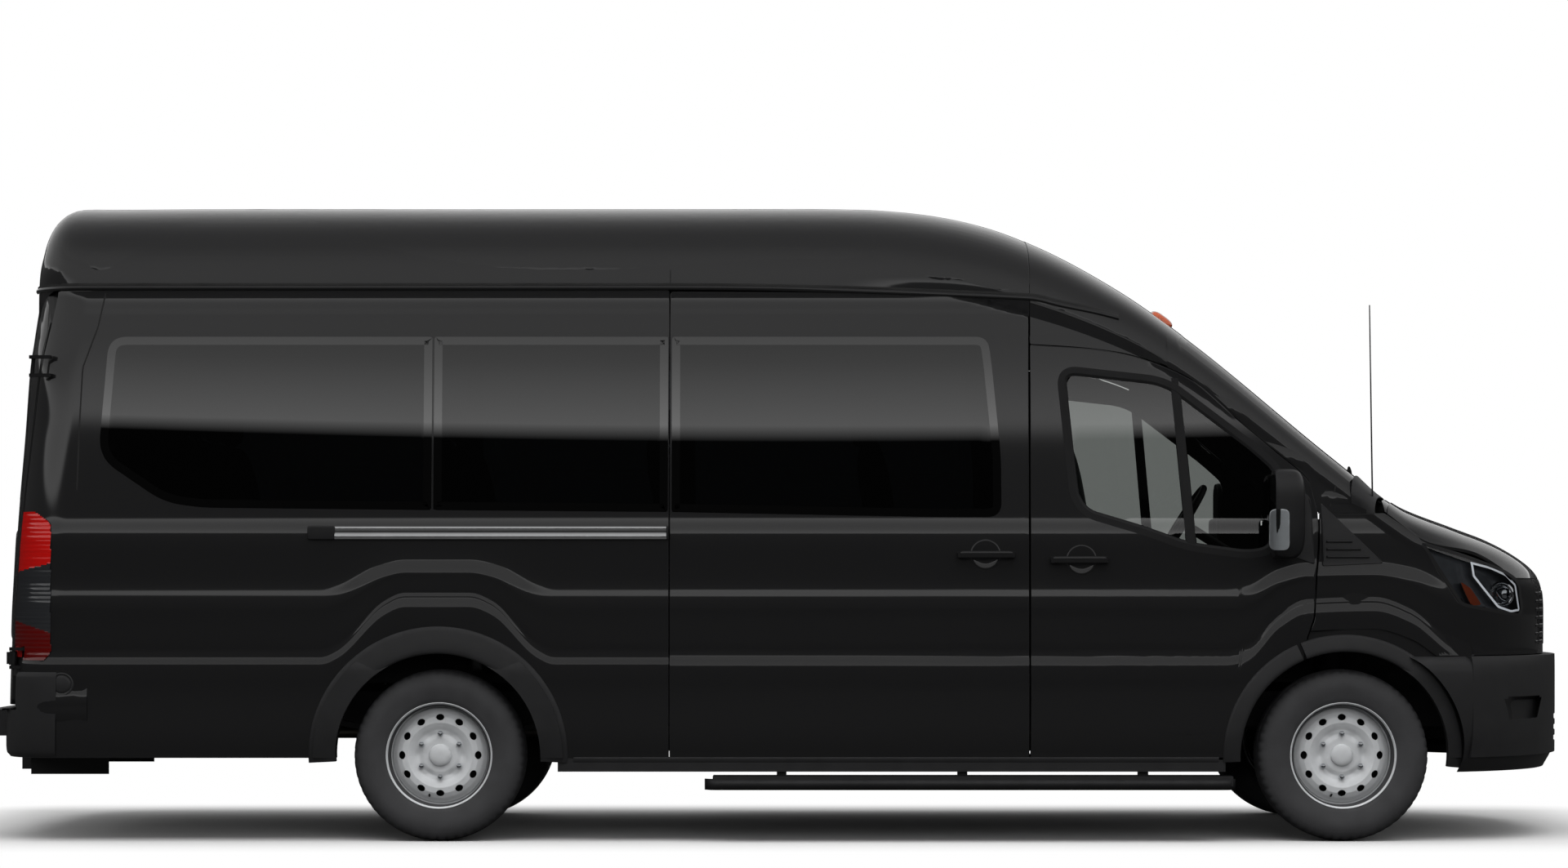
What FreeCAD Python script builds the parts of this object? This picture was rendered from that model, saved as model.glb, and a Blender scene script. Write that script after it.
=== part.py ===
import FreeCAD, Part
import math
import os
import re

# A high-roof minibus. +X is forward, +Y is the vehicle's left and +Z is up. The origin lies on the ground,
# midway between the bumpers and midway between the sides. All sizes are millimetres.

V = FreeCAD.Vector
doc = FreeCAD.newDocument("minibus")
sheet = doc.addObject("Spreadsheet::Sheet", "sizes")

SIZES = [
    ("wheel_base", 3749, "front axle to rear axle"),
    ("front_overhang", 1023, "front axle to the front bumper"),
    ("rear_overhang", 1930, "rear axle to the rear bumper"),
    ("body_half_width", 1022, "half the width of the bodywork at its widest line"),
    ("roof_height", 2692, "ground to the roof's crown"),
    ("gutter_height", 2290, "ground to the drip channel where roof and sides meet"),
    ("glass_top", 2095, "upper edge of the side windows"),
    ("glass_bottom", 1372, "lower edge of the side windows"),
    ("sill_top", 348, "lower edge of the doors"),
    ("sill_bottom", 291, "lower edge of the sills"),
    ("floor_height", 690, "top of the cabin floor"),
    ("floor_thick", 40, "thickness of the floor"),
    ("wall_thick", 50, "side wall and door with their lining"),
    ("roof_thick", 36, "roof skin with its lining"),
    ("skin_thick", 5, "wing, front panel and bonnet"),
    ("glass_thick", 5, "window glass"),
    ("seat_gap", 0.3, "clearance of a piece on its seat"),
    ("door_gap", 8, "gap around a moving panel"),
    ("track_width", 1732, "between the tyres' middle planes"),
    ("tyre_radius", 356, "axle height and tyre radius"),
    ("tyre_width", 235, "section width of a tyre"),
    ("bead_radius", 203, "bead seat of the rim"),
    ("flange_radius", 220, "edge of the rim"),
    ("rim_half_width", 88, "half the width of the rim over its flanges"),
    ("vent_circle", 154, "radius of the ring of ventilation holes"),
    ("vent_radius", 16, "radius of a ventilation hole"),
    ("nut_circle", 90, "radius of the ring of wheel nuts"),
    ("spindle_radius", 30, "stub axle"),
    ("spindle_play", 0.08, "radial clearance of the hub on its stub axle"),
    ("disc_radius", 150, "brake disc"),
    ("kingpin_inset", 92, "steering axis inboard of the tyre's middle plane"),
    ("arch_front", 432, "radius of the front wheel opening"),
    ("arch_rear", 424, "radius of the rear wheel opening"),
    ("arch_flange_front", 58, "radial width of the front arch moulding"),
    ("arch_flange_rear", 92, "radial width of the rear arch moulding"),
    ("arch_proud", 20, "how far the arch mouldings stand out of the side"),
    ("rear_slide_edge", 2792, "front axle to the rear edge of the sliding door"),
    ("pillar_edge", 1298, "front axle to the gap behind the front door"),
    ("hinge_back", 158, "front axle to the front door's hinge line"),
    ("hinge_out", 996, "middle plane to the front door's hinge line at the lower hinge"),
    ("hinge_low", 1000, "height of the lower hinge"),
    ("hinge_high", 1330, "height of the upper hinge"),
    ("hinge_lean", 18, "how far the hinge line leans in between the two hinges"),
    ("hinge_pin", 4.5, "radius of a front door's hinge pin"),
    ("bonnet_hinge_ahead", 248, "front axle to the bonnet's hinge line"),
    ("bonnet_hinge_height", 1408, "height of the bonnet's hinge line"),
    ("rear_door_half", 880, "middle plane to the outer edge of a rear door"),
    ("rear_door_bottom", 560, "lower edge of the rear doors"),
    ("rear_hinge_low", 760, "height of a rear door's lower hinge"),
    ("rear_hinge_high", 1973, "height of a rear door's upper hinge"),
    ("rear_door_top", 2500, "upper edge of the rear doors"),
    ("rear_hinge_out", 930, "middle plane to a rear door's hinge line"),
    ("pin_radius", 8, "hinge pin"),
    ("pin_play", 0.3, "clearance of a hinge eye on its pin"),
    ("rail_half", 480, "middle plane to the middle of a frame rail"),
    ("rail_width", 70, "frame rail"),
    ("rail_height", 150, "frame rail"),
    ("seat_width", 440, "one seat"),
    ("aerial_height", 884, "length of the aerial rod"),
]
for row, (alias, value, words) in enumerate(SIZES, start=1):
    sheet.set(f"A{row}", words)
    sheet.set(f"B{row}", str(value))
    sheet.setAlias(f"B{row}", alias)
doc.recompute()
ALIASES = [alias for alias, _, _ in SIZES]


def size(alias):
    """The value of a named cell, in millimetres."""
    return float(sheet.get(alias))


def formula(text):
    """A formula over the sheet's names, as an expression that a property can hold."""
    return re.sub(r"\b(" + "|".join(ALIASES) + r")\b", r"sizes.\1", str(text))


def bind(thing, **formulas):
    """Binds properties to formulas; a double underscore in a name stands for a dot."""
    for prop, text in formulas.items():
        thing.setExpression(prop.replace("__", "."), formula(text))
    return thing


def place(thing, x=0, y=0, z=0, turn=None):
    """Puts a thing at a place given by formulas, turned by (axis, degrees)."""
    if turn:
        thing.Placement.Rotation = FreeCAD.Rotation(V(*turn[0]), turn[1])
    return bind(thing, Placement__Base__x=x, Placement__Base__y=y, Placement__Base__z=z)


def add(kind, label):
    thing = doc.addObject(kind, label)
    thing.Label = label
    return thing


def box(label, low, lengths, turn=None):
    thing = bind(add("Part::Box", label), Length=lengths[0], Width=lengths[1], Height=lengths[2])
    return place(thing, *low, turn=turn)


def rod(label, start, radius, length, axis="z"):
    """A cylinder from a start point along +X, +Y or +Z."""
    turns = {"x": ((0, 1, 0), 90), "y": ((1, 0, 0), -90), "z": None}
    thing = bind(add("Part::Cylinder", label), Radius=radius, Height=length)
    return place(thing, *start, turn=turns[axis])


def fuse(label, things):
    thing = add("Part::MultiFuse", label)
    thing.Shapes = things
    thing.Refine = True
    return thing


def gather(label, things):
    """Pieces of one kind that don't touch, kept as separate solids of one sub-part."""
    thing = add("Part::Compound", label)
    thing.Links = things
    return thing


def cut(label, base, tool):
    thing = add("Part::Cut", label)
    thing.Base = base
    thing.Tool = tool
    return thing


def solid(label, shape):
    """A free-form piece whose shape the functions below work out."""
    thing = add("Part::Feature", label)
    thing.Shape = shape
    return thing


# Where the axles are, and the two ends.
FRONT_AXLE = (size("rear_overhang") + size("wheel_base") - size("front_overhang")) / 2
REAR_AXLE = FRONT_AXLE - size("wheel_base")
FRONT_END = FRONT_AXLE + size("front_overhang")
REAR_END = REAR_AXLE - size("rear_overhang")
FRONT_X = "((rear_overhang + wheel_base - front_overhang) / 2)"
REAR_X = "((rear_overhang - wheel_base - front_overhang) / 2)"
SIDES = (("right", -1), ("left", 1))
PILLAR = FRONT_AXLE - size("pillar_edge")
SLIDE_REAR = FRONT_AXLE - size("rear_slide_edge")
GAP = size("door_gap")
SEAT = size("seat_gap")
GUTTER = size("gutter_height")


def smooth(knots):
    """A smooth curve with no overshoot through (place, value) knots."""
    at = [k[0] for k in knots]
    value = [k[1] for k in knots]
    slope = [(value[i + 1] - value[i]) / (at[i + 1] - at[i]) for i in range(len(at) - 1)]
    lean = [slope[0]]
    for before, after in zip(slope, slope[1:]):
        lean.append(0 if before * after <= 0 else 2 * before * after / (before + after))
    lean.append(slope[-1])

    def curve(x):
        x = min(max(x, at[0]), at[-1])
        i = max([j for j in range(len(at) - 1) if at[j] <= x] or [0])
        step = at[i + 1] - at[i]
        t = (x - at[i]) / step
        return (
            value[i] * (1 + 2 * t) * (1 - t) ** 2
            + step * lean[i] * t * (1 - t) ** 2
            + value[i + 1] * t * t * (3 - 2 * t)
            + step * lean[i + 1] * t * t * (t - 1)
        )

    return curve


# The side's section: how far the skin lies in from its widest line, at each height.
SIDE_IN = smooth([
    (250, 47), (size("sill_bottom"), 34), (size("sill_top"), 20), (480, 3), (690, 0), (742, 6), (765, 16),
    (800, 14), (975, 10), (1075, 18), (1240, 21), (size("glass_bottom") - 27, 30),
    (size("glass_top"), 84), (GUTTER, 101), (size("roof_height"), 115),
])
# The centre line's profile: how far it lies below the roof's crown, at each distance from the front axle.
CROWN_DROP = smooth([
    (-5800, 4), (-2328, 0), (-2003, 3), (-1823, 14), (-1643, 38), (-1463, 80), (-1240, 166), (-923, 340),
    (-610, 563), (-24, 1052), (172, 1207), (300, 1292), (516, 1374), (696, 1438), (840, 1506), (912, 1552),
    (1000, 1640),
])
# The height of the rounding between side and top, at each distance from the front axle.
CANT = smooth([(-5800, 390), (-1528, 390), (-628, 260), (272, 200), (1072, 200)])
# How far the middle of the tail lies ahead of the rear bumper's end, at each height.
TAIL_IN = smooth([(250, 85), (780, 97), (1320, 121), (1697, 148), (1970, 165), (2139, 189), (2560, 240)])
SIDE_POWER = 2.6
TOP_POWER = 3.6
NOSE_DEPTH = 700
NOSE_TIP = FRONT_END - 51
NOSE_START = NOSE_TIP - NOSE_DEPTH
TAIL_DEPTH = 260
TAIL_POWER = 7
STRAIGHT_REAR = REAR_END + 481
STRAIGHT_FRONT = FRONT_AXLE - 100
ROOF_REAR = REAR_END + 240
ROOF_ROUND = 121
ROOF_FALL = 130


def crown(x):
    """The height of the centre line at x."""
    t = min(max((ROOF_REAR + ROOF_ROUND - x) / ROOF_ROUND, 0), 1)
    fall = ROOF_FALL * (1 - math.sqrt(1 - t * t))
    return size("roof_height") - CROWN_DROP(x - FRONT_AXLE) - fall


def quarter(t, power):
    """The height of a superellipse of unit size at t."""
    return (1 - min(max(t, 0), 1) ** 2) ** (1 / power)


def across(x, z, proud=0):
    """Half the body's width at a place along it and a height; proud moves the whole skin outwards."""
    cant_line = crown(x) - CANT(x - FRONT_AXLE)
    height = min(z, cant_line)
    taper = 45 * (max(0, x - STRAIGHT_FRONT) / 1000) ** 2
    half = size("body_half_width") - SIDE_IN(height) - taper + proud
    half *= quarter((x - NOSE_START) / (NOSE_DEPTH + proud), SIDE_POWER)
    half *= quarter((REAR_END + TAIL_IN(height) + TAIL_DEPTH - x) / (TAIL_DEPTH + proud), TAIL_POWER)
    if z > cant_line:
        rise = min((z - cant_line) / (crown(x) + proud - cant_line), 1)
        half *= (1 - rise ** TOP_POWER) ** (1 / SIDE_POWER)
    return half


def tail_at(y, z, proud=0):
    """Where the tail's skin lies, at a distance from the middle plane and a height."""
    half = size("body_half_width") - SIDE_IN(z) + proud
    depth = TAIL_DEPTH + proud
    return REAR_END + TAIL_IN(z) + TAIL_DEPTH - depth * math.sqrt(1 - min(abs(y) / half, 1) ** TAIL_POWER)


def nose_point(turn, z, proud=0, start=None):
    """The point of the nose's plan curve at height z that lies turn degrees round from straight ahead."""
    start = FRONT_AXLE if start is None else start
    ahead, out = math.cos(math.radians(turn)), math.sin(math.radians(turn))
    low, high = 0, 1500
    for _ in range(40):
        middle = (low + high) / 2
        if across(start + middle * ahead, z,
                proud) > middle * abs(out) and crown(start + middle * ahead) + proud > z:
            low = middle
        else:
            high = middle
    return V(start + low * ahead, -low * out, z)


def spread(low, high, count):
    return [low + (high - low) * i / (count - 1) for i in range(count)]


def curve_through(points):
    curve = Part.BSplineCurve()
    curve.interpolate(points)
    return curve.toShape()


def band(outer, inner):
    """A closed wire between an outer and an inner run of points."""
    return Part.Wire([
        curve_through(outer), Part.makeLine(outer[-1], inner[-1]),
        curve_through(inner[::-1]), Part.makeLine(inner[0], outer[0]),
    ])


def side_section(side, x, z0, z1, proud, thick, rows=18):
    levels = spread(z0, z1, rows)
    return band(
        [V(x, side * across(x, z, proud), z) for z in levels],
        [V(x, side * across(x, z, proud - thick), z) for z in levels],
    )


def straight_side(side, x0, x1, z0, z1, proud=0, thick=None):
    """A piece of side wall where the body has one section: that section drawn along X."""
    thick = size("wall_thick") if thick is None else thick
    section = Part.Face(side_section(side, STRAIGHT_FRONT - 1200, z0, z1, proud, thick))
    section.translate(V(x0 - STRAIGHT_FRONT + 1200, 0, 0))
    return section.extrude(V(x1 - x0, 0, 0))


def side_slab(side, x0, x1, z0, z1, proud=0, thick=None, columns=7):
    """A piece of side wall where the section changes: several sections, skinned."""
    thick = size("wall_thick") if thick is None else thick
    sections = [side_section(side, x, z0, z1, proud, thick, 12) for x in spread(x0, x1, columns)]
    return Part.makeLoft(sections, True, False)


def arch_points(x, low, proud):
    """The section over the top at x, from height low on the right to the same height on the left."""
    cant_line = crown(x) - CANT(x - FRONT_AXLE)
    top = crown(x) + proud
    if low < cant_line:
        half = [(across(x, z, proud), z) for z in spread(low, cant_line, 4)[:-1]]
        begin = 0
    else:
        half = []
        begin = math.degrees(math.asin(((low - cant_line) / (top - cant_line)) ** (TOP_POWER / 2)))
    widest = across(x, cant_line, proud)
    for angle in spread(begin, 90, 10):
        side = widest * max(0, math.cos(math.radians(angle))) ** (2 / SIDE_POWER)
        half.append((side, cant_line + (top - cant_line) * math.sin(math.radians(angle)) ** (2 / TOP_POWER)))
    return [V(x, -y, z) for y, z in half] + [V(x, y, z) for y, z in half[-2::-1]]


def arch_height(x, y):
    """The height of the skin over the top at a place in plan."""
    cant_line = crown(x) - CANT(x - FRONT_AXLE)
    out = min(abs(y) / across(x, cant_line), 1)
    return cant_line + (crown(x) - cant_line) * (1 - out ** SIDE_POWER) ** (1 / TOP_POWER)


def top_slab(stations, low, proud=0, thick=None):
    """A piece of roof or cab top: sections over the top, skinned."""
    thick = size("roof_thick") if thick is None else thick
    wires = [band(arch_points(x, low, proud), arch_points(x, low, proud - thick)) for x in stations]
    return Part.makeLoft(wires, True, False)


def nose_solid(proud, bottom=330):
    """The whole nose as one closed form, from the cab to its tip, with its skin moved outwards by proud."""
    tip = NOSE_TIP + proud
    stations = [STRAIGHT_FRONT - 120, STRAIGHT_FRONT + 60, STRAIGHT_FRONT + 240, NOSE_START,
            NOSE_START + 150]
    stations += [tip - back for back in (400, 280, 190, 120, 70, 35, 12, 2)]
    wires = []
    for x in stations:
        points = arch_points(x, bottom, proud)
        wires.append(Part.Wire([curve_through(points), Part.makeLine(points[-1], points[0])]))
    return Part.makeLoft(wires, True, False)


def plan_slab(levels, plan, thick, proud=0):
    """A piece of nose or tail: plan curves at several heights, skinned."""
    return Part.makeLoft([band(plan(z, proud), plan(z, proud - thick)) for z in levels], True, False)


def corner_face(points, radius, reach=0):
    """A side-view outline of straight runs joined by arcs, grown by reach, as a face at y = 0."""
    count = len(points)
    edges = []
    ends = []
    for i, (x, z) in enumerate(points):
        here = V(x, 0, z)
        before = (V(points[i - 1][0], 0, points[i - 1][1]) - here)
        after = (V(points[(i + 1) % count][0], 0, points[(i + 1) % count][1]) - here)
        half = before.getAngle(after) / 2
        run = min(radius / math.tan(half), before.Length * 0.45, after.Length * 0.45)
        before.normalize()
        after.normalize()
        bisector = before + after
        bisector.normalize()
        bend = run * math.tan(half)
        middle = here + bisector * (bend / math.sin(half) - bend)
        ends.append((here + before * run, middle, here + after * run))
    for i, (start, middle, end) in enumerate(ends):
        edges.append(Part.Arc(start, middle, end).toShape())
        edges.append(Part.makeLine(end, ends[(i + 1) % count][0]))
    face = Part.Face(Part.Wire(edges))
    return face.makeOffset2D(reach, 0) if reach else face


def ring_face(centre, inner, outer):
    """A flat ring in side view."""
    big = Part.Face(Part.Wire(Part.makeCircle(outer, V(centre[0], 0, centre[1]), V(0, 1, 0))))
    small = Part.Face(Part.Wire(Part.makeCircle(inner, V(centre[0], 0, centre[1]), V(0, 1, 0))))
    return big.cut(small)


def disc_face(centre, radius):
    return Part.Face(Part.Wire(Part.makeCircle(radius, V(centre[0], 0, centre[1]), V(0, 1, 0))))


def box_face(x0, x1, z0, z1):
    return Part.Face(Part.makePolygon([V(x0, 0, z0), V(x1, 0, z0), V(x1, 0, z1), V(x0, 0, z1),
            V(x0, 0, z0)]))


def through(face, side, y0=300, y1=1400):
    """A side-view face drawn through one side of the body."""
    shape = face.copy()
    shape.translate(V(0, side * y0, 0))
    return shape.extrude(V(0, side * (y1 - y0), 0))


def main_solid(shape):
    """The largest solid of a shape."""
    return max(shape.Solids, key=lambda part: part.Volume)


def front(x):
    return FRONT_AXLE + x


def rear(x):
    return REAR_AXLE + x


# Side-view outlines. The front door's edge follows the windscreen pillar and then the wheel.
def front_door_face(reach=0):
    top = [(-1295, 2062), (-1116, 2051), (-926, 2028), (-811, 1997), (-717, 1960), (-641, 1923),
            (-451, 1761),
           (-262, 1600), (-186, 1538), (-142, 1487), (-129, 1440), (-109, 1362)]
    edge = [(-109, 1362), (-109, 1251), (-119, 1119), (-130, 930), (-159, 845), (-173, 751)]
    arch = size("arch_front")
    foot = math.sqrt(arch ** 2 - (size("tyre_radius") - size("sill_top")) ** 2)
    low = math.sqrt(arch ** 2 - (751 - size("tyre_radius")) ** 2)
    bend = math.radians(145)
    middle = V(front(arch * math.cos(bend)), 0, size("tyre_radius") + arch * math.sin(bend))
    start = V(front(-low), 0, 751)
    end = V(front(-foot), 0, size("sill_top"))
    corner = V(PILLAR, 0, size("sill_top"))
    runs = [
        curve_through([V(front(x), 0, z) for x, z in top]),
        curve_through([V(front(x), 0, z) for x, z in edge[:-1]] + [start]),
        Part.Arc(start, middle, end).toShape(),
        Part.makeLine(end, corner),
        Part.makeLine(corner, V(front(top[0][0]), 0, top[0][1])),
    ]
    face = Part.Face(Part.Wire(runs))
    if not reach:
        return face
    grown = face.makeOffset2D(reach, 0).OuterWire.OrderedEdges
    return Part.Face(Part.Wire([redrawn(edge) for edge in grown]))


def redrawn(edge):
    """An offset curve drawn again as a plain smooth curve."""
    if isinstance(edge.Curve, (Part.Line, Part.Circle)):
        return edge
    return curve_through(edge.discretize(24))


def front_glass_face(reach=0):
    return corner_face([(front(x), z) for x, z in (
        (-1163, 1950), (-738, 1903), (-376, 1629), (-268, 1530), (-302, 1215), (-397, 1197), (-643, 1230),
        (-833, 1298), (-1060, 1366), (-1110, 1430))], 45, reach)


def rear_glass_face(reach=0):
    return corner_face([(rear(-1374), size("glass_top")), (rear(-1415), 1592), (rear(-1137), 1406),
                        (rear(-980), size("glass_bottom") + 12), (rear(-30), size("glass_bottom")),
                        (rear(-30), size("glass_top"))], 60, reach)


def middle_glass_face(reach=0):
    return corner_face([(rear(-18), size("glass_top")), (rear(-18), size("glass_bottom")),
                        (SLIDE_REAR - GAP, size("glass_bottom") - 6),
                                (SLIDE_REAR - GAP, size("glass_top"))], 40, reach)


def slide_glass_face(reach=0):
    low = size("glass_bottom") - 24
    return corner_face([(SLIDE_REAR + GAP, size("glass_top")), (SLIDE_REAR + GAP, low), (PILLAR - 108, low),
                        (PILLAR - 122, 1600), (PILLAR - 160, 1990), (PILLAR - 175, size("glass_top"))], 60,
                                reach)


def slide_door_face(reach=0):
    return corner_face([(SLIDE_REAR, GUTTER - 6), (SLIDE_REAR, size("sill_top")),
            (PILLAR, size("sill_top")),
                        (PILLAR, GUTTER - 46), (PILLAR - 700, GUTTER - 10)], 14, reach)


# The windscreen's edge seen from the side: everything ahead of this line is glass.
def screen_face(reach=0):
    return corner_face([(front(-693), 2074), (front(-606), 2133), (front(-500), 2400), (front(600), 2400),
                        (front(600), 1340), (front(205), 1340)], 25, reach)


def wall_pane(side, face_with, proud=-1):
    """A flush pane of side glass: the skin's own curve, cut to an outline."""
    skin = straight_side(side, STRAIGHT_REAR, STRAIGHT_FRONT, 1150, 2120, proud, size("glass_thick"))
    return skin.common(through(face_with(-SEAT), side))


def panel(side, x0, x1, z0, z1, outline=None, holes=(), thick=None):
    shape = straight_side(side, x0, x1, z0, z1, 0, thick)
    if outline:
        shape = shape.common(through(outline, side))
    for hole in holes:
        shape = shape.cut(through(hole, side))
    return shape


WHEEL_Z = size("tyre_radius")
REAR_ARCH = (REAR_AXLE, WHEEL_Z)
FRONT_ARCH = (FRONT_AXLE, WHEEL_Z)

# Side panels, from the sill to the gutter.
for name, side in SIDES:
    holes = [rear_glass_face(), middle_glass_face(), disc_face(REAR_ARCH, size("arch_rear"))]
    if name == "right":
        holes.append(box_face(SLIDE_REAR - GAP, PILLAR + 99, size("sill_top") - GAP, GUTTER + 99))
    else:
        holes.append(slide_glass_face())
    wall = panel(side, STRAIGHT_REAR, PILLAR - GAP, size("sill_top"), GUTTER, None, holes)
    if name == "right":
        rail = straight_side(side, rear(-428), SLIDE_REAR - GAP, 1265, 1297, 12, 15)
        wall = wall.fuse(rail.cut(straight_side(side, rear(-420), SLIDE_REAR, 1277, 1285, 13, 8)))
    solid(f"{name}_side_panel", wall)

panes = []
for name, side in SIDES:
    panes += [wall_pane(side, rear_glass_face), wall_pane(side, middle_glass_face)]
    panes.append(wall_pane(side, slide_glass_face))
solid("side_windows", Part.makeCompound(panes))

# The sliding door stays shut: it moves out and back in turn.
slide = panel(-1, SLIDE_REAR, PILLAR - GAP, size("sill_top"), GUTTER - 3, slide_door_face(),
        [slide_glass_face()])
SLIDING_DOOR = main_solid(slide)

# Rear corners, between the side panels and the rear doors.
def tail_plan(side, inner, outer_x):
    """A plan curve round the rear corner, from the side panel to the rear door's edge."""
    def plan(z, proud):
        half = size("body_half_width") - SIDE_IN(z) + proud
        points = []
        ys = [half * t for t in (0.9999, 0.998, 0.993, 0.983, 0.965, 0.94)]
        points = [V(outer_x, side * half, z)]
        points += [V(tail_at(y, z, proud), side * y, z) for y in ys if y > inner + 8]
        points.append(V(tail_at(inner, z, proud), side * inner, z))
        return points
    return plan


def tail_lamp_face(reach=0):
    return corner_face([(REAR_END + 327, 1321), (REAR_END + 260, 1369), (REAR_END - 50, 1369),
            (REAR_END - 50, 746),
                        (REAR_END + 300, 746), (REAR_END + 331, 780)], 8, reach)


BUMPER_SEAM = rear(-1662)
BUMPER_TOP = 705
corners = []
lamps = []
LAMP_DEPTH = 12
LAMP_PLAY = 2.5
for name, side in SIDES:
    levels = spread(size("sill_top"), GUTTER, 14)
    edge = size("rear_door_half") + GAP
    start = STRAIGHT_REAR - SEAT
    corner = plan_slab(levels, tail_plan(side, edge, start), size("wall_thick"))
    lens = plan_slab(levels, tail_plan(side, edge, start), LAMP_DEPTH)
    pocket = plan_slab(levels, tail_plan(side, edge - 3, start + 3), LAMP_DEPTH + LAMP_PLAY + 3, 3)
    corner = corner.cut(pocket.common(through(tail_lamp_face(LAMP_PLAY), side)))
    corner = corner.cut(through(box_face(REAR_END - 50, BUMPER_SEAM + SEAT, 0, BUMPER_TOP + SEAT), side, 0))
    corners.append(main_solid(corner))
    lamps.append(main_solid(lens.common(through(tail_lamp_face(-SEAT), side)).cut(corners[-1])))


# Rear view of the rear doors: an outline in the YZ plane.
def rear_door_face(side, reach=0):
    inner, outer = 4, size("rear_door_half")
    low, high = size("rear_door_bottom"), size("rear_door_top")
    face = corner_face([(inner, low), (outer, low), (outer, high - 330), (outer - 95, high - 40),
            (outer - 180, high),
                        (inner, high)], 40, reach)
    face.rotate(V(0, 0, 0), V(0, 0, 1), 90 if side > 0 else -90)
    return face


def rear_window_face(side, reach=0):
    outer = size("rear_door_half")
    face = corner_face([(90, 1420), (outer - 95, 1420), (outer - 95, 1900), (outer - 140, 2080),
            (90, 2080)], 60, reach)
    face.rotate(V(0, 0, 0), V(0, 0, 1), 90 if side > 0 else -90)
    return face


def door_prism(face):
    """A rear-view outline drawn through the tail, square to the leaning hinge line."""
    fall = REAR_HINGE_LEAN.x / REAR_HINGE_LEAN.z
    shape = face.copy()
    shape.translate(V(TAIL_BOX[0], 0, (REAR_END + 200 - TAIL_BOX[0]) * fall))
    return shape.extrude(V(TAIL_BOX[1] - TAIL_BOX[0], 0, (TAIL_BOX[0] - TAIL_BOX[1]) * fall))


def rear_slab(side, z0, z1, proud, thick, levels=9):
    ys = spread(0, size("rear_door_half") + 40, 9)
    def plan(z, inset):
        return [V(tail_at(y, z, 0) - proud - inset, side * y, z) for y in ys]
    return plan_slab(spread(z0, z1, levels), plan, thick)


TAIL_BOX = (REAR_END - 50, STRAIGHT_REAR)
PIN, EYE = size("pin_radius"), size("pin_radius") + 8
PLAY = size("pin_play")
REAR_HINGE_FOOT = V(REAR_END + TAIL_IN(780) + 60, 0, 780)
REAR_HINGE_LEAN = V(TAIL_IN(2139) - TAIL_IN(780), 0, 2139 - 780).normalize()


def rear_hinge_place(side, z):
    """A point of a rear door's hinge line."""
    along = (z - REAR_HINGE_FOOT.z) / REAR_HINGE_LEAN.z
    point = REAR_HINGE_FOOT + REAR_HINGE_LEAN * along
    return V(point.x, side * size("rear_hinge_out"), z)


def rear_hinge(side, z, door, corner):
    """One hinge: a pin with two ears on the corner panel, and an eye with its leaf on the door."""
    foot = rear_hinge_place(side, z)
    out = side * size("rear_hinge_out")
    pin = Part.makeCylinder(PIN, 92, foot - REAR_HINGE_LEAN * 46, REAR_HINGE_LEAN)
    ears = [Part.makeBox(90, 26, 14, V(foot.x - 12, out - 13 + side * 6, z + low)) for low in (-45, 31)]
    body_part = pin.fuse(ears).cut(corner)
    eye = Part.makeCylinder(EYE, 58, foot - REAR_HINGE_LEAN * 29, REAR_HINGE_LEAN)
    leaf = Part.makeBox(20, 84, 50, V(foot.x - 27, out - 42 - side * 42, z - 25))
    bore = Part.makeCylinder(PIN + PLAY, 99, foot - REAR_HINGE_LEAN * 49, REAR_HINGE_LEAN)
    door_part = eye.fuse(leaf).cut(bore)
    return main_solid(body_part), main_solid(door_part.cut(door))


corner_sets = []
notched_lamps = []
for (name, side), corner, lamp in zip(SIDES, corners, lamps):
    pins = []
    foot = rear_hinge_place(side, size("rear_hinge_low"))
    notch = Part.makeBox(130, 42, 99, V(foot.x - 30, foot.y - 21 + side * 6, foot.z - 50))
    notched_lamps.append(main_solid(lamp.cut(notch)))
    door = rear_slab(side, size("rear_door_bottom") - 20, size("rear_door_top") + 20, 0, size("wall_thick"))
    door = door.common(door_prism(rear_door_face(side)))
    whole = door
    door = door.cut(door_prism(rear_window_face(side)))
    for z in (size("rear_hinge_low"), size("rear_hinge_high")):
        pin, leaf = rear_hinge(side, z, whole, corner)
        pins.append(pin)
        door = door.fuse(leaf)
    corner_sets.append(corner.fuse(pins))
    solid(f"{name}_rear_door", main_solid(door))
    glass = rear_slab(side, 1400, 2100, -1, size("glass_thick"), 6)
    solid(f"{name}_rear_window", main_solid(glass.common(door_prism(rear_window_face(side, -SEAT)))))
solid("rear_corner_panels", Part.makeCompound(corner_sets))
solid("tail_lamps", Part.makeCompound(notched_lamps))

# Roof, from the gutter up and back to the rear doors.
ROOF_STATIONS = [ROOF_REAR + back for back in (6, 16, 40, 80, ROOF_ROUND, 200, 360)]
ROOF_STATIONS += [rear(0), front(-2328), front(-2028), front(-1728), front(-1478), PILLAR]
roof = top_slab(ROOF_STATIONS, GUTTER + SEAT)
for name, side in SIDES:
    roof = roof.cut(door_prism(rear_door_face(side, GAP)))
middle = box_face(-60, 60, size("rear_door_top") - 400, size("rear_door_top") + GAP)
middle.rotate(V(0, 0, 0), V(0, 0, 1), 90)
roof = roof.cut(door_prism(middle))
roof = main_solid(roof)
for side in (-1, 1):
    groove = Part.makeBox(PILLAR - STRAIGHT_REAR, 40, 22, V(STRAIGHT_REAR, side * 926 - 20, GUTTER + 4))
    groove.translate(V(0, side * 8, 0))
    roof = roof.cut(groove)
solid("roof_panel", main_solid(roof))

# The cowl's edges are arcs in plan, bowed forward.
COWL_BOW = 3280
COWL_FRONT = 284
COWL_DEPTH = 96


def cowl_cylinder(back):
    """Everything behind the cowl's front arc, moved back."""
    centre = V(front(COWL_FRONT) - COWL_BOW, 0, 1000)
    return Part.makeCylinder(COWL_BOW - back, 1700, centre)


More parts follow.
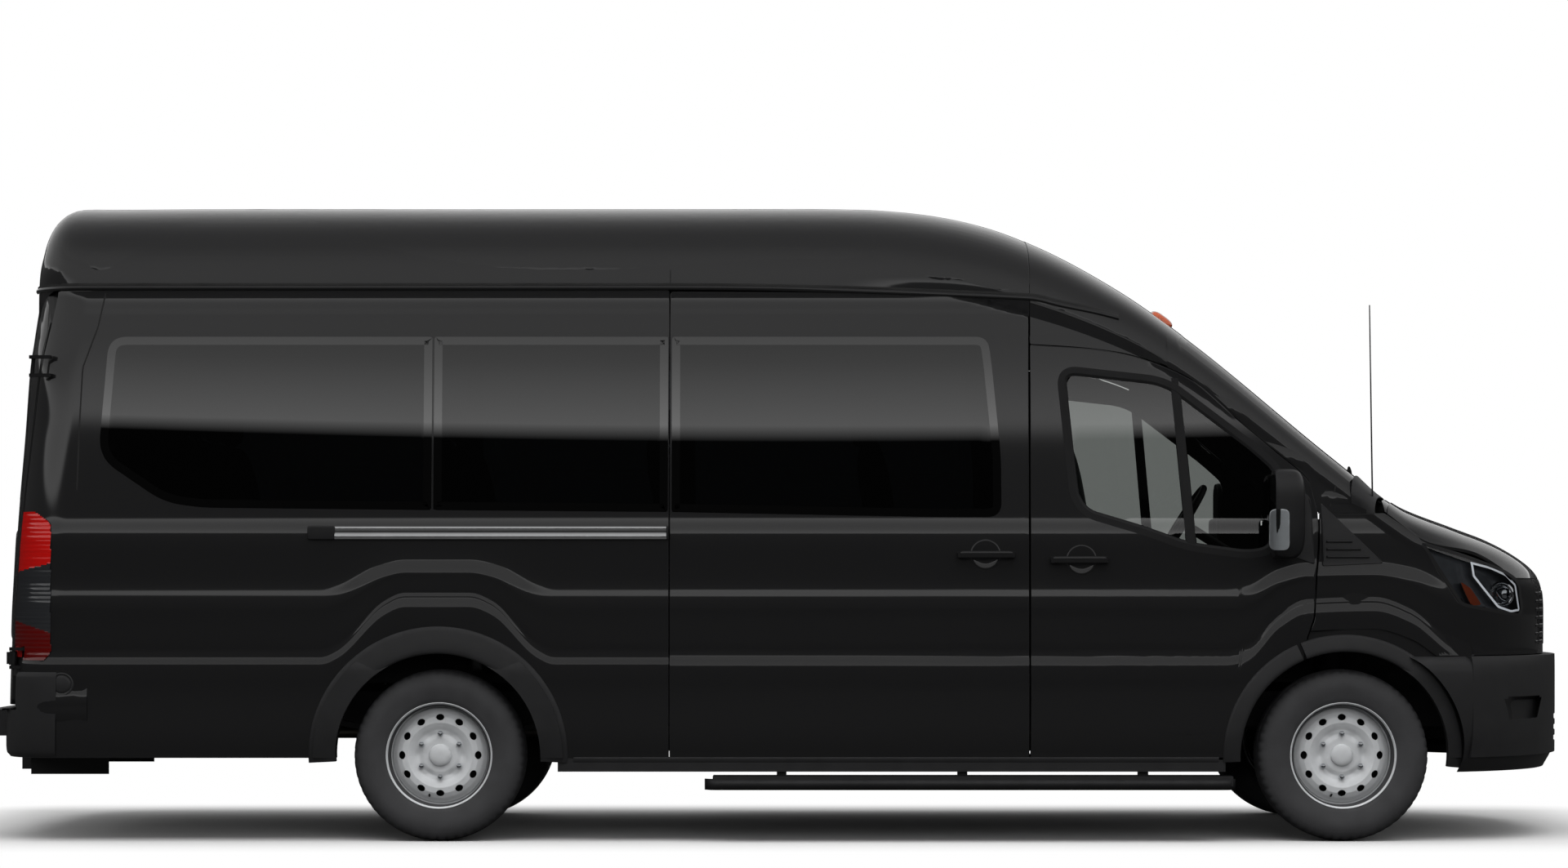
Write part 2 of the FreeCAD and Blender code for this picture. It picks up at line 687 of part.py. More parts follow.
# Cab top with the windscreen pillars.
CAB_STATIONS = [PILLAR + SEAT + ahead for ahead in (0, 140, 300, 480, 680, 900, 1150, 1350, 1520)]
cab = top_slab(CAB_STATIONS, size("glass_bottom") - 12, 0, size("wall_thick"))
cab = cab.cut(through(screen_face(), 1, -1300, 1300))
for name, side in SIDES:
    cab = cab.cut(through(front_door_face(GAP), side))
    near_hinge = box_face(front(-210), front(-120), 1470, 1560)
    cab = cab.cut(through(front_door_face(GAP + 4).common(near_hinge), side))
cab = cab.cut(Part.makeBox(900, 2400, 60, V(front(-60), -1200, size("glass_bottom") - 30)))
cab = cab.common(cowl_cylinder(COWL_DEPTH + SEAT))
solid("cab_frame", Part.makeCompound([part for part in cab.Solids if part.Volume > 1e5]))

# Clearance lamps on the crown above the windscreen.
markers = []
crest = top_slab(CAB_STATIONS[2:7], size("glass_bottom") - 12, 0, size("wall_thick"))
for y in (-500, -170, 0, 170, 500):
    x = front(-700) - 14 * (y / 500) ** 2
    fall = (arch_height(x - 20, y) - arch_height(x + 20, y)) / 40
    dome = Part.makeBox(84, 124, 46, V(-42, -62, -30))
    dome = dome.makeFillet(9, [edge for edge in dome.Edges if edge.BoundBox.ZMin > -29])
    dome.rotate(V(0, 0, 0), V(0, 1, 0), math.degrees(math.atan(fall)))
    dome.translate(V(x, y, arch_height(x, y)))
    lamp = max(dome.cut(crest).Solids, key=lambda part: part.CenterOfMass.z)
    lamp.translate(V(0.9, 0, 1.2))
    markers.append(lamp)
solid("clearance_lamps", Part.makeCompound(markers))

SCREEN_STATIONS = [PILLAR + ahead for ahead in (480, 680, 900, 1100, 1250, 1400, 1500, 1568)]
screen = top_slab(SCREEN_STATIONS, size("glass_bottom") - 12, -1, size("glass_thick"))
screen = screen.common(through(screen_face(-SEAT), 1, -1300, 1300)).common(cowl_cylinder(COWL_DEPTH + SEAT))
solid("windscreen", main_solid(screen))

# Front doors with their windows. Each hangs on two pins that turn in eyes on the hinge pillar.
DOOR_PIN = size("hinge_pin")
DOOR_EYE = DOOR_PIN + 4


def door_hinge_line(side):
    """The foot and the direction of a front door's hinge line, which leans in at its top."""
    foot = V(front(-size("hinge_back")), side * size("hinge_out"), size("hinge_low"))
    lean = V(0, -side * size("hinge_lean"), size("hinge_high") - size("hinge_low")).normalize()
    return foot, lean


HANDLE_Z = 1190


def handle(side, x0, x1, z):
    """A door handle: a bar that follows the skin on two feet."""
    bar = straight_side(side, x0, x1, z - 12, z + 12, 36, 13)
    feet = [straight_side(side, x, x + 26, z - 9, z + 9, 30, 40) for x in (x0 + 6, x1 - 32)]
    return bar.fuse(feet)


solid("sliding_door", SLIDING_DOOR.fuse(handle(-1, front(-1600), front(-1364), HANDLE_Z)))
HINGE_HEIGHTS = (0, (size("hinge_high") - size("hinge_low")) * 1.001)
for name, side in SIDES:
    door = panel(side, PILLAR, STRAIGHT_FRONT, size("sill_top"), 2080, front_door_face(-0.5),
            [front_glass_face()])
    foot, lean = door_hinge_line(side)
    for rise in HINGE_HEIGHTS:
        middle = foot + lean * rise
        notch = Part.makeBox(90, 90, 64, V(middle.x - DOOR_EYE - 3,
                middle.y + side * (DOOR_EYE + 1) - (90 if side > 0 else 0),
                                           middle.z - 32))
        pin = Part.makeCylinder(DOOR_PIN, 80, middle - lean * 40, lean)
        door = door.cut(notch).fuse(pin)
    door = door.fuse(handle(side, front(-1216), front(-978), HANDLE_Z - 22))
    solid(f"{name}_front_door", main_solid(door))
    solid(f"{name}_front_window", wall_pane(side, front_glass_face))

# The bonnet's hinge line, under the cowl.
HOOD_AXIS = V(front(size("bonnet_hinge_ahead")), 0, size("bonnet_hinge_height"))
HOOD_PIN = 6

# The bulkhead ahead of the cab, with its toe board, wheel housings and hinge pillars.
WELL_IN = size("rail_half") + 56
FLOOR = size("floor_height")
WALL = front(-90)
WALL_THICK = 24
TOE_REAR = front(-519)
bulk = []
top = size("glass_bottom") - 34
bulk.append(Part.makeBox(WALL + WALL_THICK - TOE_REAR, 2 * WELL_IN, 40, V(TOE_REAR, -WELL_IN, FLOOR - 40)))
bulk.append(Part.makeBox(WALL_THICK, 2 * WELL_IN, top - FLOOR + 40, V(WALL, -WELL_IN, FLOOR - 40)))
for name, side in SIDES:
    low_y = WELL_IN if side > 0 else -905
    bulk.append(Part.makeBox(WALL_THICK, 905 - WELL_IN, top - 790, V(WALL, low_y, 790)))
    bulk.append(Part.makeBox(WALL + WALL_THICK - TOE_REAR, 905 - WELL_IN, 14, V(TOE_REAR, low_y, 790)))
    inner_y = WELL_IN - 12 if side > 0 else -WELL_IN
    bulk.append(Part.makeBox(WALL + WALL_THICK - TOE_REAR, 12, 804 - FLOOR + 40,
            V(TOE_REAR, inner_y, FLOOR - 40)))
    bulk.append(Part.makeBox(12, 905 - WELL_IN, 804 - FLOOR + 40, V(TOE_REAR, low_y, FLOOR - 40)))
    pillar_y = 845 if side > 0 else -905
    bulk.append(Part.makeBox(110, 60, top - 790, V(front(-150), pillar_y, 790)))
    foot, lean = door_hinge_line(side)
    for rise in HINGE_HEIGHTS:
        middle = foot + lean * rise
        arm_y = 880 if side > 0 else middle.y
        bulk.append(Part.makeBox(2 * DOOR_EYE - 2, abs(middle.y) - 880, 26,
                V(middle.x - DOOR_EYE + 1, arm_y, middle.z - 13)))
        bulk.append(Part.makeCylinder(DOOR_EYE, 30, middle - lean * 15, lean))
bulk.append(Part.makeBox(front(256) - WALL - 20, 1640, 10, V(WALL + 20, -820, top - 28)))
for name, side in SIDES:
    for out in (318, 345):
        inner = side * out - (9 if side < 0 else 0)
        bulk.append(Part.makeBox(41, 9, HOOD_AXIS.z - top + 24, V(HOOD_AXIS.x - 32, inner, top - 20)))
    start = 316 if side > 0 else -356
    bulk.append(Part.makeCylinder(HOOD_PIN, 40, V(HOOD_AXIS.x, start, HOOD_AXIS.z), V(0, 1, 0)))
shape = bulk[0].fuse(bulk[1:])
for name, side in SIDES:
    foot, lean = door_hinge_line(side)
    for rise in HINGE_HEIGHTS:
        shape = shape.cut(Part.makeCylinder(DOOR_PIN + PLAY, 80, foot + lean * (rise - 40), lean))
solid("bulkhead", shape)


# The nose: bonnet, wings, lamps and front panel cut from one skin.
BONNET_LINE = [(170, 1368), (357, 1239), (545, 1204), (682, 1136), (739, 1092), (1100, 1092)]


def wing_face(reach=0):
    return corner_face([(front(-170), 1358), (front(-170), 640), (front(480), 640), (front(542), 751),
            (front(500), 983),
                        (front(399), 1119), (front(309), 1236), (front(357), 1231), (front(167), 1361)], 6,
                                reach)


def lamp_face(reach=0):
    return corner_face([(front(309), 1236), (front(503), 1187), (front(696), 1123), (front(786), 1068),
                        (front(801), 940), (front(772), 925), (front(525), 973), (front(491), 983),
                        (front(399), 1119)], 12, reach)


def front_panel_face():
    return corner_face([(front(545), 775), (front(1100), 775), (front(1100), 1086), (front(520), 1086)], 6)


def bonnet_face(reach=0):
    return corner_face([(front(157), 1600)] + [(front(x), z) for x,
            z in BONNET_LINE] + [(front(1100), 1600)], 6, reach)


# The bonnet turns on two curved arms that reach round the cowl's front edge.
def bonnet_arm_face():
    points = [(-7, 8), (7, 8), (34, -44), (66, -48), (84, -30), (110, 0), (110, -40), (78, -62), (22, -62),
            (-8, -9)]
    return corner_face([(HOOD_AXIS.x + x, HOOD_AXIS.z + z) for x, z in points], 5)


nose = nose_solid(0)
skin = nose.cut(nose_solid(-size("skin_thick")))
lamps = []
for name, side in SIDES:
    lens = nose.common(through(lamp_face(-2), side, 590, 1100)).cut(nose_solid(-60))
    lamps.append(main_solid(lens))
HEADLAMPS = lamps
wings = skin.common(through(wing_face(), 1, -1200, 1200))
wings = wings.cut(through(disc_face(FRONT_ARCH, size("arch_front")), 1, -1200, 1200))
wings = wings.cut(through(front_door_face(GAP), 1, -1200, 1200)).cut(through(lamp_face(), 1, -1200, 1200))
wings = wings.cut(Part.makeBox(2000, 1500, 2000, V(front(-500), -750, 0)))
solid("front_wings", wings)
fascia = skin.common(through(front_panel_face(), 1, -1200, 1200))
for name, side in SIDES:
    fascia = fascia.cut(through(lamp_face(0), side, 588, 1100))
for level in spread(822, 1010, 6):
    fascia = fascia.cut(Part.makeBox(900, 1080, 20, V(front(600), -540, level)))
solid("front_panel", main_solid(fascia))
bonnet = skin.common(through(bonnet_face(-0.6), 1, -1200, 1200)).cut(cowl_cylinder(-GAP * 1.5))
for name, side in SIDES:
    bonnet = bonnet.cut(through(lamp_face(GAP - 2), side, 582, 1100))
bonnet = main_solid(bonnet)
for name, side in SIDES:
    bonnet = bonnet.fuse(through(bonnet_arm_face(), side, 330, 342).common(nose_solid(-2)))
axis = V(HOOD_AXIS.x, -500, HOOD_AXIS.z)
bonnet = bonnet.cut(Part.makeCylinder(HOOD_PIN + PLAY, 1000, axis, V(0, 1, 0)))
solid("bonnet", main_solid(bonnet))
cowl = skin.common(through(box_face(front(-60), front(400), size("glass_bottom") - 28, 1700), 1, -1200,
        1200))
cowl = cowl.common(cowl_cylinder(GAP / 2)).cut(cowl_cylinder(COWL_DEPTH))
cowl = cowl.cut(through(wing_face(SEAT), 1, -1200, 1200))
for name, side in SIDES:
    slot_face = box_face(HOOD_AXIS.x - 8, HOOD_AXIS.x + 26, HOOD_AXIS.z - 30, HOOD_AXIS.z + 40)
    cowl = cowl.cut(through(slot_face, side, 324, 348))
solid("cowl", main_solid(cowl))

BUMPER_PROUD = FRONT_END - NOSE_TIP
bumper = plan_slab(spread(350, 768, 9), lambda z, inset: [
    nose_point(turn, z, BUMPER_PROUD + inset) for turn in spread(-62, 62, 25)], BUMPER_PROUD - GAP / 2)
for level in spread(395, 487, 3):
    bumper = bumper.cut(Part.makeBox(1000, 940, 26, V(front(500), -470, level)))


# The fog lamps stand in pockets of the bumper.
def fog_face(reach=0):
    return corner_face([(front(665), 618), (front(700), 632), (front(860), 624), (front(878), 596),
            (front(850), 505),
                        (front(690), 500)], 10, reach)


def bumper_layer(proud, thick):
    """A layer of the bumper's form between two depths."""
    return plan_slab(spread(470, 660, 4), lambda z, inset: [
        nose_point(turn, z, proud + inset) for turn in spread(-62, 62, 25)], thick)


pocket = bumper_layer(BUMPER_PROUD + 5, 35)
lens = bumper_layer(BUMPER_PROUD - 18, 10)
for name, side in SIDES:
    bumper = bumper.cut(pocket.common(through(fog_face(), side, 500, 1100)))
    HEADLAMPS.append(main_solid(lens.common(through(fog_face(-4), side, 500, 1100))))
solid("front_bumper", main_solid(bumper.cut(nose_solid(1))))
solid("front_lamps", Part.makeCompound(HEADLAMPS))

# Wipers at the foot of the windscreen: a curved blade and an arm each.
SWEEP = top_slab([PILLAR + ahead for ahead in (1250, 1400, 1500, 1568)], size("glass_bottom") - 12, 16, 9)
strip = SWEEP.common(cowl_cylinder(COWL_DEPTH + 44)).cut(cowl_cylinder(COWL_DEPTH + 62))
wipers = []
for low_y, high_y in ((-620, 20), (120, 760)):
    blade = strip.common(Part.makeBox(900, high_y - low_y, 900, V(front(-200), low_y, 1100)))
    arm = SWEEP.common(Part.makeBox(120, 22, 900, V(front(80), high_y - 60, 1100)))
    wipers.append(main_solid(blade.fuse(arm)))
solid("wipers", Part.makeCompound(wipers))

# Below the floor: frame rails with crossmembers and body mounts.
RAIL_X0, RAIL_X1 = f"{REAR_X} - rear_overhang + 190", f"{FRONT_X} + front_overhang - 190"
RAIL_Z = "floor_height - floor_thick - 40 - rail_height"
pieces = []
for name, side in SIDES:
    pieces.append(box(f"{name}_rail", (RAIL_X0, f"{side} * rail_half - rail_width / 2", RAIL_Z),
                      (f"({RAIL_X1}) - ({RAIL_X0})", "rail_width", "rail_height")))
    for i, x in enumerate((-2750, -1900, -500, 500, 1500)):
        pieces.append(box(f"{name}_body_mount_{i}",
                (f"{x}", f"{side} * rail_half - 45", f"{RAIL_Z} + rail_height"),
                          (90, 90, 40)))
for i, x in enumerate((-3080, -2500, -900, 0, 900, 1600, 3060)):
    pieces.append(box(f"crossmember_{i}", (f"{x}", "0 - rail_half", RAIL_Z), (70, "2 * rail_half", 34)))
fuse("chassis_frame", pieces)

# The cabin floor, and the housings that stand on it over the rear wheels.
ARCH_ROOM = "arch_rear + 30"
plate = fuse("floor_plate", [
    box("floor_wide", (f"{REAR_X} - 1596", "0 - body_half_width + 62", "floor_height - floor_thick"),
        ("wheel_base + 1596 - 520", "2 * body_half_width - 124", "floor_thick")),
    box("floor_rear", (f"{REAR_X} - 1700", "0 - rear_door_half", "floor_height - floor_thick"),
        ("110", "2 * rear_door_half", "floor_thick")),
])
wells = []
for name, side in SIDES:
    wells.append(box(f"{name}_well", (f"{REAR_X} - {ARCH_ROOM}", f"{side} * 830 - 150",
            "floor_height - floor_thick - 10"),
                     (f"2 * ({ARCH_ROOM})", 300, 60)))
cut("floor_pan", plate, fuse("floor_wells", wells))
houses = []
for name, side in SIDES:
    outer = box(f"{name}_house_outer", (f"{REAR_X} - {ARCH_ROOM} - 12", f"{side} * 811 - 143",
            "floor_height + seat_gap"),
                (f"2 * ({ARCH_ROOM}) + 24", 286, 190))
    inner = box(f"{name}_house_inner", (f"{REAR_X} - {ARCH_ROOM} - 4", f"{side} * 841 - 165",
            "floor_height - 5"),
                (f"2 * ({ARCH_ROOM}) + 8", 330, 187))
    houses.append(cut(f"{name}_house", outer, inner))
gather("wheel_housings", houses)

# Sills below the doors, between the wheel openings.
sills = []
for name, side in SIDES:
    low = (f"{REAR_X} + arch_rear + 70", f"{side} * (body_half_width - 75) - 55", "sill_bottom")
    rail = box(f"{name}_sill_rail", low, ("wheel_base - arch_rear - arch_front - 130", 110,
                                          "sill_top - sill_bottom - door_gap"))
    fixed_end = "pillar_edge + door_gap" if side > 0 else "rear_slide_edge + door_gap"
    fixed = box(f"{name}_sill_top", low, (f"wheel_base - arch_rear - 70 - {fixed_end}", 110,
                                          "sill_top - sill_bottom - seat_gap"))
    sills.append(fuse(f"{name}_sill", [rail, fixed]))
gather("sills", sills)
boards = []
for name, side in SIDES:
    boards.append(box(f"{name}_board", (f"{REAR_X} + 1136", f"{side} * (body_half_width - 60) - 65",
                      "sill_bottom - 58"), ("2150", 130, 40)))
    for i, x in enumerate((1400, 2150, 2900)):
        boards.append(box(f"{name}_board_bracket_{i}",
                (f"{REAR_X} + {x}", f"{side} * (body_half_width - 80) - 30",
                      "sill_bottom - 20"), ("40", 60, 19.7)))
gather("running_boards", [fuse(f"{name}_running_board", boards[i * 4:i * 4 + 4]) for i,
        (name, side) in enumerate(SIDES)])


# Wheels: a tyre and a pressed steel rim turned about their axle.
def turned(points):
    """A profile of (out, radius) points turned about the axle, which is Y."""
    wire = Part.makePolygon([V(0, w, r) for w, r in points + points[:1]])
    return Part.Face(wire).revolve(V(0, 0, 0), V(0, 1, 0), 360)


def tyre_shape():
    half, outer, seat = size("tyre_width") / 2, size("tyre_radius"), size("bead_radius") + SEAT
    wall = size("rim_half_width") - 9 - SEAT
    side = [(wall, seat), (wall, seat + 19), (half - 5, seat + 50), (half, seat + 84),
            (half - 4, outer - 38),
            (half - 16, outer - 14), (half - 34, outer)]
    return turned(side + [(-w, r) for w, r in side[::-1]])


def rim_shape():
    """Barrel, pressed face with vent holes, hub and brake disc, facing +Y."""
    half, seat, edge = size("rim_half_width"), size("bead_radius"), size("flange_radius")
    barrel = [(half, edge), (half - 9, edge), (half - 9, seat), (half - 34, seat), (half - 52, seat - 16),
              (-half + 34, seat - 6), (-half + 16, seat), (-half + 9, seat), (-half + 9, edge),
                      (-half, edge),
              (-half, seat - 8), (-half + 30, seat - 12), (half - 58, seat - 23), (half - 32, seat - 9),
                      (half, seat - 9)]
    face = [(half - 44, seat - 10), (half - 16, seat - 26), (half - 10, seat - 42), (half - 12, seat - 58),
            (half - 24, seat - 82), (half - 30, seat - 100), (half - 30, 52), (half - 14, 44),
                    (half - 6, 30),
            (half - 4, 0), (half - 40, 0), (half - 40, seat - 98), (half - 32, seat - 80),
                    (half - 21, seat - 56),
            (half - 19, seat - 42), (half - 25, seat - 30), (half - 52, seat - 14)]
    bore = size("spindle_radius") + size("spindle_play")
    hub = Part.makeCylinder(62, 75, V(0, -25, 0),
            V(0, 1, 0)).cut(Part.makeCylinder(bore, 70, V(0, -26, 0), V(0, 1, 0)))
    disc = Part.makeCylinder(size("disc_radius"), 24, V(0, -30, 0), V(0, 1, 0))
    disc = disc.cut(Part.makeCylinder(bore, 90, V(0, -40, 0), V(0, 1, 0)))
    nuts = []
    for i in range(6):
        turn = math.radians(60 * i + 30)
        r = size("nut_circle")
        nuts.append(Part.makeCylinder(11, 26, V(r * math.cos(turn), half - 36, r * math.sin(turn)),
                V(0, 1, 0)))
    shape = turned(barrel).fuse([turned(face), hub, disc] + nuts)
    holes = []
    for i in range(12):
        turn = math.radians(30 * i)
        r = size("vent_circle")
        holes.append(Part.makeCylinder(size("vent_radius"), 60,
                V(r * math.cos(turn), half - 50, r * math.sin(turn)),
                                       V(0, 1, 0)))
    return shape.cut(holes)


tyre, rim = tyre_shape(), rim_shape()
for axle, x in (("front", FRONT_X), ("rear", REAR_X)):
    for name, side in SIDES:
        for part, shape in (("tyre", tyre), ("rim", rim)):
            thing = solid(f"{axle}_{name}_{part}", shape)
            place(thing, x, f"{side} * track_width / 2", "tyre_radius",
                  turn=((0, 0, 1), 0 if side > 0 else 180))

# Knuckles turn on a vertical pin between the suspension arms and carry the stub axles.
ARM_LOW, ARM_HIGH = "tyre_radius - 138", "tyre_radius + 138"
for name, side in SIDES:
    pin_y = f"{side} * (track_width / 2 - kingpin_inset)"
    upright = box(f"{name}_upright", (f"{FRONT_X} - 34", f"{pin_y} - 26", f"{ARM_LOW} + 4"), (68, 52, 268))
    pin = rod(f"{name}_kingpin", (FRONT_X, pin_y, f"{ARM_LOW} - 26"), 12, 328)
    start = f"{pin_y}" if side > 0 else f"{pin_y} - 130"
    stub = rod(f"{name}_stub", (FRONT_X, start, "tyre_radius"), "spindle_radius", 130, axis="y")
    arm = box(f"{name}_steering_arm", (f"{FRONT_X} - 150", f"{pin_y} - {10 if side > 0 else 14}",
            "tyre_radius - 110"),
              (140, 24, 26))
    fuse(f"{name}_knuckle", [upright, pin, stub, arm])

# Front suspension: two arms a side, a spring leg and the crossmember that carries them.
pieces = [box("front_crossmember", (f"{FRONT_X} - 60", "0 - rail_half - 60", "tyre_radius - 160"),
              (120, "2 * rail_half + 120", 84))]
for name, side in SIDES:
    pieces.append(box(f"{name}_tower", (f"{FRONT_X} - 55", f"{side} * (rail_half + 47) - 10",
            "tyre_radius - 100"), (110, 20, 760)))
    tower_out = size("rail_half") + 37
    for level, z in (("lower", -162), ("upper", 138)):
        pin_out = size("track_width") / 2 - size("kingpin_inset")
        arm_base = tower_out - 2
        points = [V(-150, 0, 0), V(150, 0, 0), V(24, pin_out - arm_base + 14, 0),
                V(-24, pin_out - arm_base + 14, 0)]
        arm = Part.Face(Part.makePolygon(points + points[:1])).extrude(V(0, 0, 24))
        arm = arm.cut(Part.makeCylinder(12 + size("pin_play"), 60, V(0, pin_out - arm_base, -20)))
        if side < 0:
            arm = arm.mirror(V(0, 0, 0), V(0, 1, 0))
        thing = solid(f"{name}_{level}_arm", arm)
        pieces.append(place(thing, FRONT_X, f"{side} * {arm_base}", f"tyre_radius + {z}"))
    pieces.append(rod(f"{name}_spring_leg", (FRONT_X, f"{side} * (rail_half + 130)", "tyre_radius - 150"),
            30, 800))
    pieces.append(rod(f"{name}_spring", (FRONT_X, f"{side} * (rail_half + 130)", "tyre_radius + 180"), 52,
            420))
    pieces.append(box(f"{name}_top_mount",
            (f"{FRONT_X} - 60", f"{side} * (rail_half + 110) - 75", "tyre_radius + 640"),
                      (120, 150, 24)))
fuse("front_suspension", pieces)

# Rear axle, with its springs.
axle_pieces = [
    rod("axle_tube", (REAR_X, "0 - track_width / 2 + 50", "tyre_radius"), 50, "track_width - 100",
            axis="y"),
    rod("axle_shaft", (REAR_X, "0 - track_width / 2 - 38", "tyre_radius"), "spindle_radius",
            "track_width + 76", axis="y"),
    rod("differential", (REAR_X, "-120", "tyre_radius"), 140, 240, axis="y"),
    box("pinion", (f"{REAR_X} + 130", "-45", "tyre_radius - 40"), (70, 90, 260)),
]
fuse("rear_axle", axle_pieces)


def spring_shape():
    """Three leaves, each bowed down, the longest with rolled eyes."""
    leaves = []
    for i, half in enumerate((660, 470, 300)):
        rise = 95 * (half / 660) ** 2
        top = [V(-half, 0, rise), V(0, 0, 0), V(half, 0, rise)]
        low = [point - V(0, 0, 12) for point in top]
        face = Part.Face(Part.Wire([
            Part.Arc(*top).toShape(), Part.makeLine(top[2], low[2]),
            Part.Arc(*low).toShape(), Part.makeLine(low[0], top[0])]))
        leaf = face.extrude(V(0, 66, 0))
        leaf.translate(V(0, -33, -12 * i))
        leaves.append(leaf)
    for end in (-660, 660):
        leaves.append(Part.makeCylinder(26, 66, V(end, -33, 95 - 6), V(0, 1, 0)))
    clamp = Part.makeBox(130, 84, 62, V(-65, -42, -40))
    return leaves[0].fuse(leaves[1:] + [clamp])


springs = []
leaf = spring_shape()
for name, side in SIDES:
    spring = place(solid(f"{name}_leaves", leaf), REAR_X, f"{side} * (rail_half + 125)",
            "tyre_radius + 90.5")
    hangers = []
    for end in (-660, 660):
        hangers.append(box(f"{name}_hanger_{end}", (f"{REAR_X} + {end} - 30",
                           f"{side} * (rail_half + 74) - 38", "tyre_radius + 110"), (60, 76, 140)))
    springs.append(fuse(f"{name}_spring_set", [spring] + hangers))
gather("leaf_springs", springs)

# Engine, gearbox with propeller shaft, tank and exhaust.
box("engine_block", (f"{FRONT_X} - 10", "-250", "tyre_radius + 140"), (560, 500, 520))
fuse("driveline", [
    rod("gearbox", (f"{FRONT_X} - 600.5", "0", "tyre_radius + 180"), 110, 590, axis="x"),
    rod("propeller_shaft", (f"{REAR_X} + 200 + seat_gap", "0", "tyre_radius + 180"), 40,
            "wheel_base - 798", axis="x"),
])
box("fuel_tank", ("-450", "rail_half + 40", "350"), (900, 360, 255))
fuse("exhaust", [
    rod("exhaust_pipe", (f"{REAR_X} - 1650", "-350", f"{RAIL_Z} - 27"), 25, "wheel_base + 900", axis="x"),
    rod("silencer", ("-300", "-350", f"{RAIL_Z} - 100"), 90, 620, axis="x"),
] + [box(f"exhaust_hanger_{i}", (f"{x}", "-360", f"{RAIL_Z} - 20"), (30, 20, "20 - seat_gap"))
     for i, x in enumerate((-2480, -880, 20))])

# Rear bumper and towing receiver.
def tail_bumper(z, inset):
    """A plan curve round the tail between the two seams with the side panels."""
    half = size("body_half_width") - SIDE_IN(z) + inset
    back = REAR_END + TAIL_IN(z) + TAIL_DEPTH - BUMPER_SEAM
    start = quarter(back / (TAIL_DEPTH + inset), TAIL_POWER)
    ys = [half * start * t for t in (1, 0.988, 0.97, 0.94, 0.9, 0.8, 0.6, 0.3, 0)]
    right = [V(tail_at(y, z, inset), -y, z) for y in ys]
    return right + [V(point.x, -point.y, z) for point in right[-2::-1]]


tail = plan_slab(spread(size("sill_top"), BUMPER_TOP, 7), tail_bumper, 40)
tail = tail.cut(Part.makeBox(900, 1904, 400, V(REAR_END - 200, -952, 545)))
step = Part.makeBox(TAIL_IN(430) + 20, 1500, 110, V(REAR_END, -750, 430))
solid("rear_bumper", main_solid(tail.fuse(step)))
receiver = fuse("receiver_body", [
    box("receiver_cross_tube", (f"{REAR_X} - rear_overhang + 150", "-540", "258"), (60, 1080, 60)),
    box("receiver_tube", (f"{REAR_X} - rear_overhang + 2", "-32", "254"), (190, 64, 64)),
    box("receiver_plate_right", (f"{REAR_X} - rear_overhang + 150", "-548", "258"), (330, 10, 250)),
    box("receiver_plate_left", (f"{REAR_X} - rear_overhang + 150", "538", "258"), (330, 10, 250)),
])
hollow = fuse("receiver_hollow", [
    box("receiver_bore", (f"{REAR_X} - rear_overhang - 2", "-25.5", "260.5"), (170, 51, 51)),
    rod("receiver_pin_hole", (f"{REAR_X} - rear_overhang + 50", "-40", "286"), 8, 80, axis="y"),
])
cut("towing_receiver", receiver, hollow)


# Seats: a side outline drawn across each seat's width.
def seat_shape(width):
    outline = [(-60, 0), (-60, 250), (-150, 270), (-160, 420), (-250, 1000), (-170, 1020), (-80, 470),
            (310, 430),
               (330, 300), (240, 260), (200, 0)]
    rest = [(-255, 975), (-270, 1190), (-200, 1195), (-180, 975)]
    return through(corner_face(outline, 30), 1, -width / 2,
            width / 2).fuse(through(corner_face(rest, 25), 1, -125, 125))


ROWS = {
    "front_seats": [(1380, -480), (1380, 480)],
    "passenger_seats": [(560, -690), (560, 230), (560, 690), (-340, -690), (-340, 230), (-340, 690),
                        (-1240, -690), (-1240, 230), (-1240, 690),
                        (-2330, -690), (-2330, -230), (-2330, 230), (-2330, 690)],
}
HOUSE_HALF = size("arch_rear") + 42 + SEAT
for row, seats in ROWS.items():
    things = []
    for i, (x, y) in enumerate(seats):
        house = Part.makeBox(2 * HOUSE_HALF, 2000, 200,
                V(REAR_AXLE - HOUSE_HALF - x, 668 - SEAT - y if y > 0 else -2668 + SEAT - y, 0))
        shape = seat_shape(size("seat_width"))
        if abs(y) > 500:
            shape = shape.cut(house)
        seat = place(solid(f"{row}_{i}", shape), f"{x}", f"{y}", "floor_height + seat_gap")
        things.append(seat)
    gather(row, things)

# Dashboard and steering wheel.
WHEEL_AT = V(front(-528), 480, 1345)
dash = corner_face([(front(-430), 1010), (front(-400), 1150), (front(-200), 1200), (WALL - SEAT, 1190),
                    (WALL - SEAT, 820), (front(-250), 820)], 16).extrude(V(0, 1680, 0))
dash.translate(V(0, -840, 0))
column = Part.makeCylinder(22 + SEAT, 500, V(0, 0, -500))
column.Placement = FreeCAD.Placement(WHEEL_AT, FreeCAD.Rotation(V(0, 1, 0), -58))
solid("dashboard", main_solid(dash.cut(column)))
wheel = Part.makeTorus(185, 15).fuse([
    Part.makeCylinder(50, 40, V(0, 0, -20)), Part.makeBox(360, 40, 14, V(-180, -20, -7)),
    Part.makeBox(40, 180, 14, V(-20, -180, -7)), Part.makeCylinder(22, 400, V(0, 0, -400))])
place(solid("steering_wheel", wheel), f"{WHEEL_AT.x}", f"{WHEEL_AT.y}", f"{WHEEL_AT.z}",
        turn=((0, 1, 0), -58))

